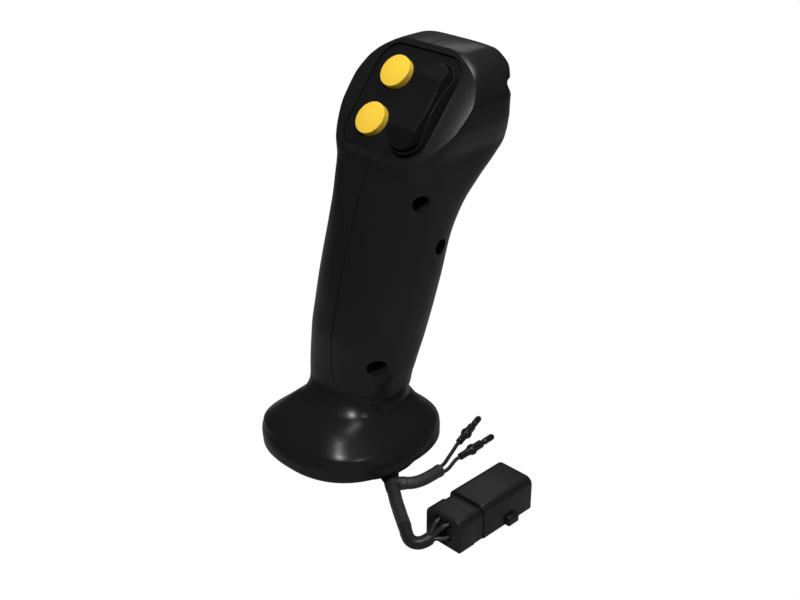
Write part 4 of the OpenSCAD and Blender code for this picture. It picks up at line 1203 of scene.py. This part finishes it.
big = {"Head Width": 7, "Head Height": 4, "Shank Width": 3.9, "Length": 13, "Key Width": 3.6}
stand = Matrix.Translation((-6.98, 0, 0)) @ ACROSS
mesh = grow(screw, [(-6.98, y, z) for y, z in SCREWS], big, black_steel, stand)
add_piece("socket_cover_screws", mesh, black_steel, ["cover_screws"], slot="black_steel")
turned = Matrix.Translation((0, 0, 18.48)) @ Matrix.Rotation(math.pi, 4, "X")
mesh = grow(screw, [(x, y, 18.48) for x, y in foot_screws], {**big, "Length": 14.1}, black_steel, turned)
add_piece("socket_adapter_screws", mesh, black_steel, ["adapter_screws"], slot="black_steel")
small = {"Head Width": 3.8, "Head Height": 1.4, "Shank Width": 1.8, "Length": 7, "Key Width": 1.9}
turned = on_plate(0, PLATE_V, -10.44) @ Matrix.Rotation(math.pi, 4, "X")
mesh = grow(screw, [on_plate(x, PLATE_V, -10.44).translation for x in POSTS], small, black_steel, turned)
add_piece("carrier_screw_pair", mesh, black_steel, ["carrier_screws"], slot="black_steel")
print("screws grown:", len(SCREWS) + len(foot_screws) + len(POSTS))

# %% [markdown]
# A spring joins a fixed floor to a moving cap. Its mesh is bent between those two bodies, so that the coils
# close up as the cap goes down and nothing has to pass through anything.

# %% Return springs
spring = Growth("coil_spring", ("Radius", "Wire", "Rise", "Turns"))
turns = spring.inputs["Turns"]
coil_r = spring.inputs["Radius"]
coil = {"Resolution": 28, "Rotations": turns, "Start Radius": coil_r, "End Radius": coil_r,
        "Height": spring.inputs["Rise"]}
path = spring.node("GeometryNodeCurveSpiral", coil)
round_wire = {"Resolution": 10, "Radius": spring.times(spring.inputs["Wire"], 0.5)}
ring_of_wire = spring.node("GeometryNodeCurvePrimitiveCircle", round_wire)
wound = {"Curve": path, "Profile Curve": ring_of_wire, "Fill Caps": True}
spring.end(spring.node("GeometryNodeCurveToMesh", wound))


def add_spring(name, x, places_v, floor, top, radius, turns, body, nodes):
    wire = 0.7
    stand = on_plate(x, places_v[0], floor + wire / 2)
    sizes = {"Radius": radius, "Wire": wire, "Rise": top - floor - wire, "Turns": turns}
    places = [on_plate(x, v, floor + wire / 2).translation for v in places_v]
    mesh = grow(spring, places, sizes, spring_steel, stand, ("Turns",))
    obj = add_piece(name, mesh, spring_steel, nodes, None, "spring_steel", smooth=60)
    low = on_plate(x, places_v[0], floor + 0.8).translation
    high = on_plate(x, places_v[0], top - 0.9).translation
    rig.blend(obj, "root", body, low * MM, high * MM)


for body, v in BUTTON_V.items():
    add_spring(body + "_coil", BUTTON_X, [v], -9.15, 1.05, 4.6, 5, body, [body + "_spring"])
add_spring("rocker_coils", ROCKER_X, [ROCKER_V + 11, ROCKER_V - 11], -12.95, 6.2, 3.4, 6, "rocker",
           ["rocker_upper_spring", "rocker_lower_spring"])
print("springs grown: 4")

# %% [markdown]
# ## The solids that are already right
# The nodes that no piece replaces are shown as they stand in the frame, so all that they need is a finish,
# which is looked up by the material slot that each one names.

# %% Finish the carried-over solids
FINISH = {"body_plastic": body_black, "plate_plastic": plate_black, "button_yellow": button_yellow,
          "rocker_plastic": rocker_black, "inner_plastic": inner_black, "switch_plastic": switch_blue,
          "contact_metal": tinned, "spring_steel": spring_steel, "black_steel": black_steel, "brass": brass,
          "adapter_metal": adapter_black, "cable_rubber": boot_rubber, "braid": sleeve_weave,
          "shrink_tube": shrink_black, "bullet_boot_rubber": boot_rubber, "bullet_pin_metal": dark_pin,
          "connector_plastic": connector_black, "seal_rubber": seal_red}
for part in frame["record"]["subparts"]:
    mesh = NODES[part["node"]].data
    mesh.materials.clear()
    mesh.materials.append(FINISH[part["material_slot"]])
print("finishes:", len(FINISH))

# %% [markdown]
# ## Studio
# Black plastic shows its lights more than its colour, so they are few: a small key draws the glints, and
# three wide, weak ones shape the rest. The floor and the sky look pale to the eye but send little light back,
# because a bright floor would turn the lower half grey.

# %% Floor, sky and lights
def studio_floor():
    shader = Shader("pale_floor")
    tree = shader.tree
    shader.finish(Base_Color=(0.30, 0.30, 0.30, 1), Roughness=0.9)
    shader.plug(shader.bsdf.inputs["Specular IOR Level"], 0.0)
    glow = tree.nodes.new("ShaderNodeEmission")
    glow.inputs["Color"].default_value = (1, 1, 1, 1)
    glow.inputs["Strength"].default_value = 1.0
    eye = tree.nodes.new("ShaderNodeLightPath")
    mix = tree.nodes.new("ShaderNodeMixShader")
    tree.links.new(eye.outputs["Is Camera Ray"], mix.inputs[0])
    tree.links.new(shader.bsdf.outputs[0], mix.inputs[1])
    tree.links.new(glow.outputs[0], mix.inputs[2])
    tree.links.new(mix.outputs[0], tree.nodes["Material Output"].inputs["Surface"])
    half = 3000
    corners = [(-half, -half, -0.02), (half, -half, -0.02), (half, half, -0.02), (-half, half, -0.02)]
    mesh = bpy.data.meshes.new("floor")
    mesh.from_pydata([Vector(c) * MM for c in corners], [], [(0, 1, 2, 3)])
    mesh.materials.append(shader.material)
    floor = bpy.data.objects.new("floor", mesh)
    bpy.context.collection.objects.link(floor)
    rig.stage(floor)


def sky():
    world = bpy.data.worlds.new("sky")
    bpy.context.scene.world = world
    world.use_nodes = True
    tree = world.node_tree
    tree.nodes.clear()
    out = tree.nodes.new("ShaderNodeOutputWorld")
    mix = tree.nodes.new("ShaderNodeMixShader")
    eye = tree.nodes.new("ShaderNodeLightPath")
    tree.links.new(eye.outputs["Is Camera Ray"], mix.inputs[0])
    for k, strength in ((1, 0.06), (2, 1.0)):
        back = tree.nodes.new("ShaderNodeBackground")
        back.inputs["Color"].default_value = (1, 1, 1, 1)
        back.inputs["Strength"].default_value = strength
        tree.links.new(back.outputs[0], mix.inputs[k])
    tree.links.new(mix.outputs[0], out.inputs["Surface"])


def soft_light(name, place_mm, target_mm, size_mm, watts):
    light = bpy.data.lights.new(name, "AREA")
    light.shape, light.size, light.energy = "DISK", size_mm * MM, watts
    lamp = bpy.data.objects.new(name, light)
    lamp.location = Vector(place_mm) * MM
    lamp.rotation_euler = (Vector(target_mm) - Vector(place_mm)).to_track_quat("-Z", "Y").to_euler()
    bpy.context.collection.objects.link(lamp)


studio_floor()
sky()
AIM = (0, 10, 110)
soft_light("key", (215, -380, 740), AIM, 90, 5.4)
soft_light("side", (560, -60, 420), AIM, 200, 1.0)
soft_light("top", (60, 200, 760), AIM, 220, 1.9)
soft_light("back", (-330, 470, 540), AIM, 240, 0.22)
bpy.context.scene.view_settings.view_transform = "Standard"
print("lights:", len(bpy.data.lights))

# The sleeves, collars, boots and terminals are the pieces that sit on them.

# %% Cords
ON_WIRES = [long_sleeve, jacket, fork_boot, relief, plug_rear, plug_housing,
            "connector_seal", "connector_seal_ring", "connector_contacts"]
for name in seats:
    piece, line, length = cords[name]
    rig.cord(piece, exit=line[0], length=length, diameter=WIRE_D * MM, far_end="connector", stiffness="medium",
            lay="loose", path=line, with_pieces=ON_WIRES)
for name, terminal in (("lead_a", "bullet_a"), ("lead_b", "bullet_b")):
    piece, line, length = cords[name]
    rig.cord(piece, exit=line[0], length=length, diameter=LEAD_D * MM, far_end="connector", stiffness="medium",
            lay="loose", path=line, with_pieces=[short_sleeve, short_ring, *terminals[terminal]])

# %% [markdown]
# The two sizes, of the solids and of what is seen, are written side by side.

# %% Sizes
with open("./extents.json", "w") as size_file:
    json.dump({"cad": CAD_BOX, "visual": [list(corner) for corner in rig.bounds()]}, size_file)
